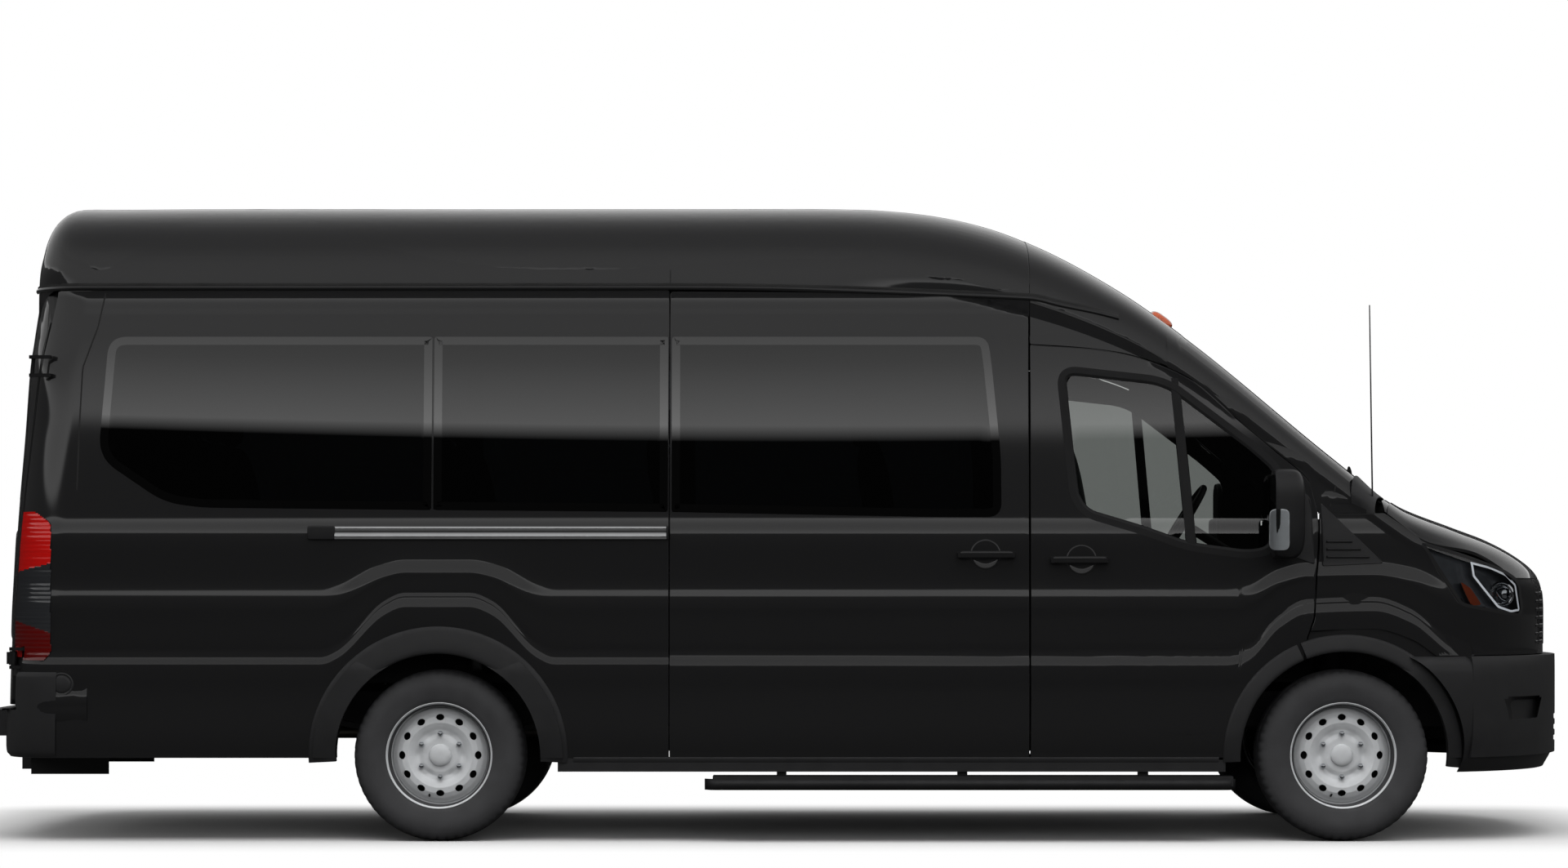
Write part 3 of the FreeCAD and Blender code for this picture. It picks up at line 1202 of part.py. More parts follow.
# Mirrors on the doors, wipers, aerial, lamps.
for name, side in SIDES:
    head = Part.makeBox(150, 118, 345, V(front(-320), side * 1154 - 59, 1182))
    head = head.makeFillet(28, head.Edges)
    arm = Part.makeCylinder(20, 170, V(front(-235), side * 985, 1235), V(0, side, 0))
    skin_in = straight_side(side, front(-400), front(-100), 1150, 1400, 0.3, 60)
    solid(f"{name}_mirror", main_solid(head.fuse(arm).cut(skin_in)))
AERIAL_AT = V(front(125), -945, 1340)
base = Part.makeCylinder(13, 75, AERIAL_AT)
mast = Part.makeCylinder(3, size("aerial_height"), AERIAL_AT)
solid("aerial", main_solid(base.fuse(mast).cut(nose_solid(SEAT))))

# Mouldings round the wheel openings stand out of the side.
front_wing_ring = ring_face(FRONT_ARCH, size("arch_front"), size("arch_front") + size("arch_flange_front"))
rear_ring = ring_face(REAR_ARCH, size("arch_rear"), size("arch_rear") + size("arch_flange_rear"))
rings = []
for name, side in SIDES:
    proud = straight_side(side, STRAIGHT_REAR, rear(700), size("sill_top"), 1000, size("arch_proud"),
            size("arch_proud") - SEAT)
    skin = straight_side(side, STRAIGHT_REAR, rear(700), size("sill_top"), GUTTER, SEAT)
    rings.append(proud.common(through(rear_ring, side)).cut(skin))
    ahead = side_slab(side, front(-108), front(560), size("sill_top"), 900, size("arch_proud"),
            size("arch_proud") - SEAT, 9)
    wing_ring = front_wing_ring.cut(box_face(front(-900), front(-108), 0, 2000))
    rings.append(ahead.common(through(wing_ring, side)).cut(nose_solid(SEAT)))
solid("wheel_arch_mouldings", Part.makeCompound([part for ring in rings for part in ring.Solids]))
for name, side in SIDES:
    proud = straight_side(side, front(-600), STRAIGHT_FRONT - 18, size("sill_top") + 2, 900,
            size("arch_proud"),
                          size("arch_proud") - SEAT)
    shape = proud.common(through(front_wing_ring, side)).common(through(front_door_face(-2), side))
    skin = straight_side(side, PILLAR, STRAIGHT_FRONT, size("sill_top"), 2080, SEAT)
    solid(f"{name}_door_moulding", main_solid(shape.cut(skin)))


NODES = """
right_side_panel left_side_panel rear_corner_panels roof_panel cab_frame windscreen cowl side_windows
sliding_door right_front_door left_front_door right_front_window left_front_window
right_rear_door left_rear_door right_rear_window left_rear_window right_mirror left_mirror
right_door_moulding left_door_moulding front_wings front_panel front_lamps bonnet front_bumper rear_bumper bulkhead
towing_receiver tail_lamps clearance_lamps wipers wheel_arch_mouldings sills running_boards floor_pan
wheel_housings
chassis_frame front_suspension right_knuckle left_knuckle rear_axle leaf_springs engine_block driveline
fuel_tank exhaust dashboard steering_wheel front_seats passenger_seats aerial
front_right_tyre front_left_tyre rear_right_tyre rear_left_tyre
front_right_rim front_left_rim rear_right_rim rear_left_rim
""".split()

doc.recompute()
failed = [thing.Label for thing in doc.Objects if {"Invalid", "Error"} & set(thing.State)]
if failed:
    raise RuntimeError(f"objects that failed: {failed}")
os.makedirs("parts", exist_ok=True)
for name in NODES:
    node = doc.getObjectsByLabel(name)[0]
    if node.Shape.isNull() or not node.Shape.isValid():
        raise RuntimeError(f"the shape of {name} isn't sound")
    node.Shape.exportStep(f"parts/{name}.step")
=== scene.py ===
import math

import bmesh
import bpy
import numpy as np
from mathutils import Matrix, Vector


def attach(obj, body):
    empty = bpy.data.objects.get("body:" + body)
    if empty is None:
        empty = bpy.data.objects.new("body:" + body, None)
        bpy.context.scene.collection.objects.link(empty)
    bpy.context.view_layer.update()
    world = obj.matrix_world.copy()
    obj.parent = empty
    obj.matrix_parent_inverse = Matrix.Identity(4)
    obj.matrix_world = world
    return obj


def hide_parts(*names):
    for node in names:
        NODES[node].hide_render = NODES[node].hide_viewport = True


bl_info = {
    "name": "High-roof minibus",
    "version": (1, 0, 0),
    "blender": (4, 5, 0),
    "location": "View3D > Sidebar > Minibus",
    "description": "Dresses the packed minibus with smooth panels, glass, lamps, wheels and a plain stage",
    "category": "Object",
}

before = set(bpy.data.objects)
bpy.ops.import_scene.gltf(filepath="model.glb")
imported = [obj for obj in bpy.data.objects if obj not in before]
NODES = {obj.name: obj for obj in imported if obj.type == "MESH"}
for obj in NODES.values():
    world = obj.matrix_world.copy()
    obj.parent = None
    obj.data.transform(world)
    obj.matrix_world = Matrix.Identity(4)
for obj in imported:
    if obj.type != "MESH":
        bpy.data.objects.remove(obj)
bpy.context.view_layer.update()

# Shapes are worked out in millimetres, as on the drawings, and scaled once when a mesh is made.
MM = 0.001
FRONT_AXLE = 2328.0
REAR_AXLE = -1421.0
AXLE_HEIGHT = 356.0
TRACK_HALF = 866.0
HALF_WIDTH = 1022
ROOF_HEIGHT = 2692
REAR_END = -3351.0
NOSE_START = 2600.0
NOSE_DEPTH = 700.0
TAIL_DEPTH = 260.0
GUTTER = 2290.0
SILL_TOP = 348.0
# The crease above the sills is drawn at one height, and heights up to the line under the glass stretch with it.
CREASE_DRAWN = 765
UNDER_GLASS = 1240
PILLAR = 1030.0
SLIDE_REAR = -464.0
FLOOR_TOP = 690.0
# The wings draw in by the square of the way ahead of this place, by so much in the first metre.
TAPER_START, TAPER = 2228, 45
# The roof's rear edge: how far ahead of the tail's end its rounding starts, and its length and depth.
REAR_EDGE_START, REAR_EDGE_LONG, REAR_EDGE_DEEP = 361, 121, 130
# Powers of the superellipses: the nose's and the tail's in plan, and the top's upwards and across.
NOSE_POWER, TAIL_POWER = 2.6, 7
UP_POWER, OVER_POWER = 3.6, 2.6
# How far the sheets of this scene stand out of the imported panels.
PROUD = 1.2
SIDES = (("right", -1), ("left", 1))
# Drawing heights of the side's rows, closer where it bends.
LEVELS = np.unique(np.concatenate([
    np.arange(SILL_TOP, GUTTER + 6, 13.0),
    [640, 700, 735, 741, 746, 751, 757, 765, 960, 972, 985, 1075, 1087, 1100, 1240]]))
# The materials, by name, once they are mixed.
LOOK = {}


# The body's form
def smooth(knots):
    """Monotone cubic through (place, value) knots: on each span the Hermite cubic of the two values and the
    harmonic means of the neighbouring slopes."""
    at, value = np.array(knots, float).T
    slope = np.diff(value) / np.diff(at)
    product = slope[:-1] * slope[1:]
    total = slope[:-1] + slope[1:]
    inner = np.where(product > 0, 2 * product / np.where(total == 0, 1, total), 0)
    tangent = np.concatenate([slope[:1], inner, slope[-1:]])

    def curve(x):
        x = np.clip(np.asarray(x, float), at[0], at[-1])
        i = np.clip(np.searchsorted(at, x, side="right") - 1, 0, len(at) - 2)
        step = at[i + 1] - at[i]
        t = (x - at[i]) / step
        return (value[i] * (1 + 2 * t) * (1 - t) ** 2 + step * tangent[i] * t * (1 - t) ** 2
                + value[i + 1] * t * t * (3 - 2 * t) + step * tangent[i + 1] * t * t * (t - 1))

    return curve


# How far the side stands in from the half width, by drawing height.
SIDE_IN = smooth([
    (250, 47), (291, 34), (348, 20), (480, 4), (640, 0), (735, 3), (748, 6), (757, 8.6), (775, 10.4),
    (800, 12), (960, 8), (985, 9), (1075, 16.4), (1100, 17.4), (1160, 19), (1240, 21), (1345, 29.5),
    (2095, 83.3), (2200, 91.8), (2290, 96.5), (2302, 94.8), (2692, 113),
])
# How far the centre line lies under the roof's height, by distance ahead of the front axle.
CROWN_DROP = smooth([
    (-5800, 4), (-2328, 0), (-2003, 3), (-1823, 14), (-1643, 38), (-1463, 80), (-1240, 166), (-923, 340),
    (-610, 563), (-24, 1052), (172, 1207), (300, 1292), (516, 1374), (696, 1438), (840, 1506), (912, 1552),
    (1000, 1640),
])
# How far the cant line, where the sides turn into the top, lies under the centre line, by the same distance.
CANT = smooth([(-5800, 390), (-1528, 390), (-628, 260), (272, 200), (1072, 200)])
# How far the tail stands in from the rear end, by height.
TAIL_IN = smooth([(250, 85), (780, 97), (1320, 121), (1697, 148), (1970, 165), (2139, 189), (2560, 240)])
# The crease above the sills climbs round each wheel.
CREASE = smooth([
    (-3400, 765), (-1905, 765), (-1840, 790), (-1640, 985), (-1560, 1018), (-1290, 1018), (-1200, 985),
    (-1010, 795), (-940, 765), (1840, 765), (1930, 790), (2060, 930), (2170, 990), (2450, 1000), (2600, 950),
    (2760, 820), (2850, 765), (3400, 765),
])


def floats(*values):
    """The values as arrays of floats of one shape."""
    return np.broadcast_arrays(*(np.asarray(value, float) for value in values))


def crown(x):
    """Height of the centre line: the roof's less the profile's drop, less a quarter ellipse at the tail."""
    t = np.clip((REAR_END + REAR_EDGE_START - np.asarray(x, float)) / REAR_EDGE_LONG, 0, 1)
    return ROOF_HEIGHT - CROWN_DROP(np.asarray(x) - FRONT_AXLE) - REAR_EDGE_DEEP * (1 - np.sqrt(1 - t * t))


def cant_height(x):
    """Height of the cant line, where the sides turn into the top."""
    return crown(x) - CANT(x - FRONT_AXLE)


def tail_start(z):
    """Where the tail's rounding in plan starts, by height."""
    return REAR_END + TAIL_IN(z) + TAIL_DEPTH


def lean(x, rise):
    """How far the high roof's walls lean in, rise above the cant line: 7 % of the first 200 mm, fading out to
    the cab and to the tail."""
    return 0.07 * np.clip(rise, 0, 200) * np.clip((1000 - x) / 800, 0, 1) * np.clip((x + 3100) / 150, 0, 1)


def quarter(t, power):
    """Unit superellipse: (1 - t^2) ^ (1 / power)."""
    return (1 - np.clip(t, 0, 1) ** 2) ** (1 / power)


def side_level(x, z):
    """The drawing height whose inset holds at (x, z): heights from the sill to the line under the glass are
    stretched so that the drawn crease lies at CREASE(x)."""
    crease = CREASE(x)
    above = CREASE_DRAWN + (z - crease) * (UNDER_GLASS - CREASE_DRAWN) / (UNDER_GLASS - crease)
    below = SILL_TOP + (z - SILL_TOP) * (CREASE_DRAWN - SILL_TOP) / (crease - SILL_TOP)
    return np.where((z <= SILL_TOP) | (z >= UNDER_GLASS), z, np.where(z > crease, above, below))


def level_height(x, level):
    """Where a drawing height lies at x, the inverse of side_level."""
    crease = CREASE(x)
    above = crease + (level - CREASE_DRAWN) * (UNDER_GLASS - crease) / (UNDER_GLASS - CREASE_DRAWN)
    below = SILL_TOP + (level - SILL_TOP) * (crease - SILL_TOP) / (CREASE_DRAWN - SILL_TOP)
    stretched = np.where(level > CREASE_DRAWN, above, below)
    return np.where((level <= SILL_TOP) | (level >= UNDER_GLASS), level, stretched)


def across(x, z, proud=0.0):
    """Half the body's width at (x, z): the side's inset, the nose's and tail's superellipses in plan, and above
    the cant line the rounding (1 - rise^3.6) ^ (1 / 2.6)."""
    x, z = floats(x, z)
    cant_line = cant_height(x)
    level = np.minimum(z, cant_line)
    taper = TAPER * (np.maximum(0, x - TAPER_START) / 1000) ** 2
    half = HALF_WIDTH - SIDE_IN(side_level(x, level)) - taper + proud
    half = half * quarter((x - NOSE_START) / (NOSE_DEPTH + proud), NOSE_POWER)
    half = half * quarter((tail_start(level) - x) / (TAIL_DEPTH + proud), TAIL_POWER)
    rise = np.clip((z - cant_line) / (crown(x) + proud - cant_line), 0, 1)
    return (half - lean(x, z - cant_line)) * (1 - rise ** UP_POWER) ** (1 / OVER_POWER)


def height(x, y, proud=0.0):
    """Height of the top at (x, y), the inverse of the rounding: the cant line and then the rest of the rise by
    (1 - (y / half)^2.6) ^ (1 / 3.6)."""
    x, y = floats(x, y)
    cant_line = cant_height(x)
    widest = across(x, cant_line, proud)
    part = np.clip(np.abs(y) / np.maximum(widest, 1e-6), 0, 1)
    return cant_line + (crown(x) + proud - cant_line) * (1 - part ** OVER_POWER) ** (1 / UP_POWER)


def skin(side, x, z, proud=0.0):
    """Points of one side of the body at side-view places (x, z)."""
    x, z, proud = floats(x, z, proud)
    return np.stack([x, side * across(x, z, proud), z], -1)


def top(x, y, proud=0.0):
    """Points of the roof, cab or bonnet at plan places (x, y)."""
    x, y = floats(x, y)
    return np.stack([x, y, height(x, y, proud)], -1)


def tail(side, y, z, proud=0.0):
    """Points of the tail y out from the middle: depth * sqrt(1 - (y / half width)^7) back from its start."""
    y, z, proud = floats(y, z, proud)
    half = HALF_WIDTH - SIDE_IN(z) + proud
    depth = (TAIL_DEPTH + proud) * np.sqrt(np.clip(1 - (np.abs(y) / half) ** TAIL_POWER, 0, 1))
    return np.stack([tail_start(z) - depth, side * y, z], -1)


def tail_corner(side, levels, inner, steps, proud):
    """Points round the rear corner, from the side to inner out from the middle: back by sin(turn) of the tail's
    depth, and out by cos(turn) ^ (2 / 7) of the half width."""
    half = HALF_WIDTH - SIDE_IN(levels)[None] + proud
    turn = np.arccos((inner / half) ** (TAIL_POWER / 2)) * np.linspace(0, 1, steps)[:, None]
    x = tail_start(levels)[None] - (TAIL_DEPTH + proud) * np.sin(turn)
    return np.stack([x, side * half * np.cos(turn) ** (2 / TAIL_POWER), levels[None] + 0 * x], -1)


def nose(turn, z, proud=0.0):
    """Points of the nose turn degrees round from straight ahead, about the front axle's middle: the distance at
    which the ray meets the half width, found by halving."""
    turn, z, proud = floats(np.radians(turn), z, proud)
    ahead, out = np.cos(turn), np.abs(np.sin(turn))
    low, high = np.zeros(turn.shape), np.full(turn.shape, 1500.0)
    for _ in range(36):
        middle = (low + high) / 2
        x = FRONT_AXLE + middle * ahead
        within = (across(x, z, proud) > middle * out) & (crown(x) + proud > z)
        low, high = np.where(within, middle, low), np.where(within, high, middle)
    return np.stack([FRONT_AXLE + low * ahead, -low * np.sin(turn), z], -1)


# Outlines and meshes
def spread(low, high, step):
    """Even places from low to high, at most step apart."""
    return np.linspace(low, high, max(2, int(math.ceil(abs(high - low) / step)) + 1))


def rounded(corners, radius, step=12.0):
    """A closed side-view outline: straight runs joined by a parabola at each corner, in even steps."""
    points = np.array(corners, float)
    before, after = np.roll(points, 1, 0) - points, np.roll(points, -1, 0) - points
    long_before, long_after = np.linalg.norm(before, axis=1), np.linalg.norm(after, axis=1)
    run = np.minimum(np.asarray(radius, float), np.minimum(long_before, long_after) * 0.48)
    start = points + before * (run / long_before)[:, None]
    end = points + after * (run / long_after)[:, None]
    t = np.linspace(0, 1, 9)[None, :, None]
    loop = (1 - t) ** 2 * start[:, None] + 2 * t * (1 - t) * points[:, None] + t ** 2 * end[:, None]
    return even(loop.reshape(-1, 2), step)


def even(loop, step=12.0, count=None):
    """The same closed outline in even steps of its own length, or with that many points."""
    closed = np.vstack([loop, loop[:1]])
    length = np.concatenate([[0], np.cumsum(np.linalg.norm(np.diff(closed, axis=0), axis=1))])
    at = np.linspace(0, length[-1], count or max(12, int(length[-1] / step)), endpoint=False)
    return np.stack([np.interp(at, length, closed[:, i]) for i in (0, 1)], -1)


def grown(loop, reach):
    """A closed outline moved outwards along its normals by reach."""
    along = np.roll(loop, -1, 0) - np.roll(loop, 1, 0)
    long = np.maximum(np.linalg.norm(along, axis=1), 1e-9)
    normal = np.stack([along[:, 1], -along[:, 0]], -1) / long[:, None]
    area = np.sum(loop[:, 0] * np.roll(loop[:, 1], -1) - np.roll(loop[:, 0], -1) * loop[:, 1])
    return loop + normal * reach * (1 if area > 0 else -1)


def inside(x, z, loop):
    """Which places lie inside a closed outline, by counting its crossings along +X."""
    x0, z0 = loop.T
    x1, z1 = np.roll(loop, -1, 0).T
    x, z = np.asarray(x, float)[..., None], np.asarray(z, float)[..., None]
    spans = (z0 > z) != (z1 > z)
    where = x0 + (z - z0) * (x1 - x0) / np.where(z1 == z0, 1e-9, z1 - z0)
    return np.sum(spans & (x < where), -1) % 2 == 1


# A grid whose last column joins its first.
ROUND = (False, True)
BODY_MIDDLE = (0.0, 0.0, 1200.0)


def patch(grid, material=0, wrap=(False, False), keep=None, away=None):
    """Faces between the neighbours of a grid of points; keep leaves quads out, and away is a point that the
    faces look away from."""
    rows, columns = grid.shape[:2]
    index = np.arange(rows * columns).reshape(rows, columns)
    index = np.vstack([index, index[:1]]) if wrap[0] else index
    index = np.hstack([index, index[:, :1]]) if wrap[1] else index
    quads = np.stack([index[:-1, :-1], index[1:, :-1], index[1:, 1:], index[:-1, 1:]], -1)
    quads = (quads if keep is None else quads[keep]).reshape(-1, 4)
    points = grid.reshape(-1, 3)
    away = points.mean(0) if away is None else np.asarray(away, float)
    corners = points[quads]
    normal = np.cross(corners[:, 2] - corners[:, 0], corners[:, 3] - corners[:, 1])
    if np.sum(normal * (corners.mean(1) - away)) < 0:
        quads = quads[:, ::-1]
    uv = np.stack(np.meshgrid(np.arange(rows), np.arange(columns), indexing="ij"), -1)
    return points, quads, material, uv.reshape(-1, 2).astype(float)


def sheet(grid, material=0, keep=None):
    """A patch of the body's outside: it looks away from the van's middle."""
    return patch(grid, material, keep=keep, away=BODY_MIDDLE)


def build(name, patches, materials, body="body", replaces=()):
    """One object from several patches, in metres, riding its body."""
    shift, points, quads, marks, uvs = 0, [], [], [], []
    for part_points, part_quads, mark, uv in patches:
        points.append(part_points)
        uvs.append(uv)
        quads.append(part_quads + shift)
        marks.append(np.full(len(part_quads), mark, np.int32))
        shift += len(part_points)
    points, uvs = np.vstack(points) * MM, np.vstack(uvs)
    quads, marks = np.vstack(quads), np.concatenate(marks)
    used, quads = np.unique(quads, return_inverse=True)
    points, uvs, quads = points[used], uvs[used], quads.reshape(-1, 4)
    mesh = bpy.data.meshes.new(name)
    mesh.vertices.add(len(points))
    mesh.vertices.foreach_set("co", points.ravel())
    mesh.loops.add(quads.size)
    mesh.loops.foreach_set("vertex_index", quads.ravel().astype(np.int32))
    mesh.polygons.add(len(quads))
    mesh.polygons.foreach_set("loop_start", np.arange(0, quads.size, 4, dtype=np.int32))
    mesh.polygons.foreach_set("material_index", marks)
    mesh.update(calc_edges=True)
    layer = mesh.uv_layers.new(name="surface")
    layer.data.foreach_set("uv", uvs[quads.ravel()].ravel())
    mesh.polygons.foreach_set("use_smooth", np.ones(len(quads), bool))
    mesh.validate()
    for material in materials:
        mesh.materials.append(LOOK[material])
    thing = bpy.data.objects.new(name, mesh)
    bpy.context.scene.collection.objects.link(thing)
    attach(thing, body)
    if replaces:
        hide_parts(*replaces)
    return thing


# A panel's turned-in edge: how far out of its outline and how far below its sheet each row lies.
HEM = np.array([(0.0, 0.0), (1.3, -0.5), (2.2, -1.6), (2.6, -3.2), (2.6, -8.0)])


def hem(loop, side):
    """A panel's edge turned in: the outline grown by 0 to 2.6 mm while it sinks 8 mm below the sheet."""
    rings = np.stack([skin(side, *grown(loop, out).T, PROUD + down) for out, down in HEM])
    return patch(rings, 0, ROUND, None, (loop[:, 0].mean(), side * 900, loop[:, 1].mean()))


def columns(xs, low, high, step=14.0):
    """Side-view places in columns: each runs from low(x) to high(x), and its rows keep to drawing heights, so
    that they follow the creases."""
    first, last = side_level(xs, low), side_level(xs, high)
    count = max(2, int(np.max(last - first) / step))
    level = first[:, None] + (last - first)[:, None] * np.linspace(0, 1, count)[None, :]
    x = np.repeat(xs[:, None], count, 1)
    return x, level_height(x, level)


def column_loop(x, z):
    """The closed outline of a column grid."""
    return np.vstack([
        np.stack([x[:, 0], z[:, 0]], -1), np.stack([x[-1, 1:], z[-1, 1:]], -1),
        np.stack([x[-2::-1, -1], z[-2::-1, -1]], -1), np.stack([x[0, -2:0:-1], z[0, -2:0:-1]], -1)])


def middle_of(x, z):
    """The middles of a grid's quads."""
    return [(a[:-1, :-1] + a[1:, :-1] + a[1:, 1:] + a[:-1, 1:]) / 4 for a in (x, z)]


def far_out(grid):
    """How far the quads of a grid lie from the van's middle plane."""
    return np.abs((grid[:-1, :-1, 1] + grid[1:, 1:, 1]) / 2)


def ring(outer, inner, side, proud_outer, proud_inner, material=0, rows=2):
    """A band on the skin between two outlines with as many points."""
    t = np.linspace(0, 1, rows)[:, None, None]
    path = outer[None] * (1 - t) + inner[None] * t
    proud = proud_outer * (1 - t[..., 0]) + proud_inner * t[..., 0]
    grid = skin(side, path[..., 0], path[..., 1], proud)
    return patch(grid, material, ROUND, None, (outer[:, 0].mean(), 0, outer[:, 1].mean()))


def filled(loop, step=16.0):
    """A closed outline as columns: each runs between the lowest and highest crossing of its upright."""
    a0, b0 = loop.T
    a1, b1 = np.roll(loop, -1, 0).T
    at = np.linspace(a0.min() + 0.05, a0.max() - 0.05, max(6, int(np.ptp(a0) / step)))[:, None]
    spans = (a0 > at) != (a1 > at)
    cut = b0 + (at - a0) * (b1 - b0) / np.where(a1 == a0, 1e-9, a1 - a0)
    low = np.where(spans, cut, np.inf).min(1)[:, None]
    high = np.where(spans, cut, -np.inf).max(1)[:, None]
    rows = max(6, int(np.ptp(b0) / step))
    return np.repeat(at, rows, 1), low + (high - low) * np.linspace(0, 1, rows)[None]


def pane(loop, side, proud, material=0, step=16.0):
    """A pane of glass: an outline filled on the skin moved out by proud."""
    grid = skin(side, *filled(loop, step), proud)
    return patch(grid, material, away=(loop[:, 0].mean(), 0, loop[:, 1].mean()))


def turned(profile, centre, axis, steps, material=0, side=1):
    """A profile of (out, radius) points turned about an axis through centre."""
    angle = np.radians(np.linspace(0, 360.0, steps, endpoint=False))[:, None]
    out, radius = np.array(profile, float).T
    along = out[None] * side + np.zeros_like(angle)
    a, b = radius[None] * np.cos(angle), radius[None] * np.sin(angle)
    order = {"x": (along, a, b), "y": (a, along, b), "z": (a, b, along)}[axis]
    grid = np.stack(order, -1) + np.asarray(centre, float)
    return patch(grid, material, (True, False))


def signed(value, power):
    """A power that keeps the sign, for superellipses."""
    return np.sign(value) * np.abs(value) ** power


def superquadric(rows, steps, level, ahead, aside, upright):
    """A unit superquadric of latitude u and longitude v: signed powers of cos u and cos v ahead, of cos u and
    sin v aside, and of sin u upwards."""
    u = np.linspace(-np.pi / 2, np.pi / 2, rows)[:, None]
    v = np.linspace(-np.pi, np.pi, steps, endpoint=False)[None]
    flat = signed(np.cos(u), level)
    return flat * signed(np.cos(v), ahead), flat * signed(np.sin(v), aside), signed(np.sin(u), upright) + 0 * v


def tube(path, radius, material=0, steps=16, flat=1.0, square=1.0):
    """A bar: a superellipse carried along a path, flattened across by flat, with closed ends."""
    path = np.array(path, float)
    along = np.gradient(path, axis=0)
    along /= np.linalg.norm(along, axis=1)[:, None]
    up = np.array([0, 0, 1.0]) if abs(along[0, 2]) < 0.9 else np.array([1.0, 0, 0])
    wide = np.cross(along, up)
    wide /= np.linalg.norm(wide, axis=1)[:, None]
    tall = np.cross(wide, along)
    angle = np.linspace(0, 2 * np.pi, steps, endpoint=False)
    a, b = signed(np.cos(angle), square), signed(np.sin(angle), square)
    radius = np.broadcast_to(np.asarray(radius, float), len(path))
    size = np.concatenate([[0.001], radius, [0.001]])
    path = np.vstack([path[:1], path, path[-1:]])
    wide, tall = (np.vstack([v[:1], v, v[-1:]]) for v in (wide, tall))
    grid = (path[:, None] + wide[:, None] * (a * flat)[None, :, None] * size[:, None, None]
            + tall[:, None] * b[None, :, None] * size[:, None, None])
    return patch(grid, material, ROUND)


def block(low, high, material=0, power=0.18):
    """A closed block with softened edges: a superquadric of one low power stretched to the block."""
    low, high = np.array(low, float), np.array(high, float)
    unit = np.stack(superquadric(15, 28, power, power, power, power), -1)
    return patch((low + high) / 2 + unit * (high - low) / 2, material, ROUND)


# Materials
def linear(code):
    """An sRGB hex colour such as #1a2b3c as linear RGBA."""
    rgb = np.array([int(code[i:i + 2], 16) for i in (1, 3, 5)]) / 255
    rgb = np.where(rgb <= 0.04045, rgb / 12.92, ((rgb + 0.055) / 1.055) ** 2.4)
    return (*[float(v) for v in rgb], 1.0)


def add(tree, kind, sockets=None, **settings):
    """A node of that kind with its settings, and its sockets given as values or as links from others."""
    node = tree.nodes.new(kind)
    for name, value in settings.items():
        setattr(node, name, value)
    for name, value in (sockets or {}).items():
        if isinstance(value, bpy.types.NodeSocket):
            tree.links.new(value, node.inputs[name])
        else:
            node.inputs[name].default_value = value
    return node


def blank(name):
    """A new material with only its output node."""
    material = bpy.data.materials.new(name)
    material.use_nodes = True
    material.node_tree.nodes.clear()
    return material, material.node_tree, add(material.node_tree, "ShaderNodeOutputMaterial")


def solid(name, sockets):
    """A new material with one shader of those sockets, and its node of coordinates."""
    material, tree, out = blank(name)
    shader = add(tree, "ShaderNodeBsdfPrincipled", sockets)
    tree.links.new(shader.outputs[0], out.inputs["Surface"])
    return material, tree, shader, add(tree, "ShaderNodeTexCoord")


def finish(name, colour, sockets, grain, relief, shade):
    """A surface with its own colour and sockets. grain is the size in millimetres of its texture, relief the
    texture's depth in millimetres, and shade how far the colour varies over 40 grains."""
    material, tree, shader, place = solid(name, sockets)
    if relief:
        noise = add(tree, "ShaderNodeTexNoise", {"Vector": place.outputs["Object"], "Scale": 1000 / grain,
                                                 "Detail": 2.0, "Roughness": 0.55})
        bump = add(tree, "ShaderNodeBump", {"Height": noise.outputs["Fac"], "Distance": relief * MM})
        tree.links.new(bump.outputs[0], shader.inputs["Normal"])
    base = np.array(linear(colour) if isinstance(colour, str) else colour)
    shader.inputs["Base Color"].default_value = base
    if shade:
        cloud = add(tree, "ShaderNodeTexNoise", {"Vector": place.outputs["Object"], "Scale": 25 / grain,
                                                 "Detail": 3.0})
        ramp = add(tree, "ShaderNodeValToRGB", {"Fac": cloud.outputs["Fac"]})
        ramp.color_ramp.elements[0].position, ramp.color_ramp.elements[1].position = 0.3, 0.7
        ramp.color_ramp.elements[0].color = (*(base[:3] * (1 - shade)), 1)
        ramp.color_ramp.elements[1].color = (*np.minimum(base[:3] * (1 + shade), 1), 1)
        tree.links.new(ramp.outputs["Color"], shader.inputs["Base Color"])
    return material


def black_lacquer(colour):
    """Two-coat black lacquer over steel: deep black under a hard clear coat with a faint orange peel, so it
    shows the room sharply and little colour of its own."""
    return finish("black lacquer", colour, {"Roughness": 0.42, "IOR": 1.5, "Specular IOR Level": 0.3,
                                            "Coat Weight": 1.0, "Coat Roughness": 0.03, "Coat IOR": 1.5},
                  6.0, 0.004, 0.0)


def grained_polypropylene():
    """Injection-moulded polypropylene with a fine leather grain of about 1.5 mm: dull, a little lighter than
    the paint, with a soft sheen at its edges."""
    return finish("grained black polypropylene", "#1a1a1b", {"Roughness": 0.52, "IOR": 1.49}, 1.6, 0.03, 0.12)


def smooth_abs():
    """Moulded satin ABS, as on grips and caps: even, soft highlights."""
    return finish("satin black ABS", "#111112", {"Roughness": 0.36, "IOR": 1.53}, 1.0, 0.006, 0.08)


def see_through(name, tint):
    """Toughened glass: a tinted sheet that lets light straight through. Both its faces mirror, more so at
    grazing angles, which one layer of a higher index stands for."""
    material, tree, out = blank(name)
    fresnel = add(tree, "ShaderNodeFresnel", {"IOR": 1.8})
    through = add(tree, "ShaderNodeBsdfTransparent", {"Color": tint})
    bright = add(tree, "ShaderNodeBsdfGlossy", {"Roughness": 0.0})
    mix = add(tree, "ShaderNodeMixShader", {0: fresnel.outputs[0], 1: through.outputs[0], 2: bright.outputs[0]})
    tree.links.new(mix.outputs[0], out.inputs["Surface"])
    return material


def silver_lacquer(colour):
    """Silver wheel lacquer on pressed steel: fine aluminium flake under clear, with soft broad highlights."""
    sockets = {"Metallic": 0.15, "Roughness": 0.45, "IOR": 1.5}
    return finish("silver wheel lacquer", colour, sockets, 0.8, 0.01, 0.04)


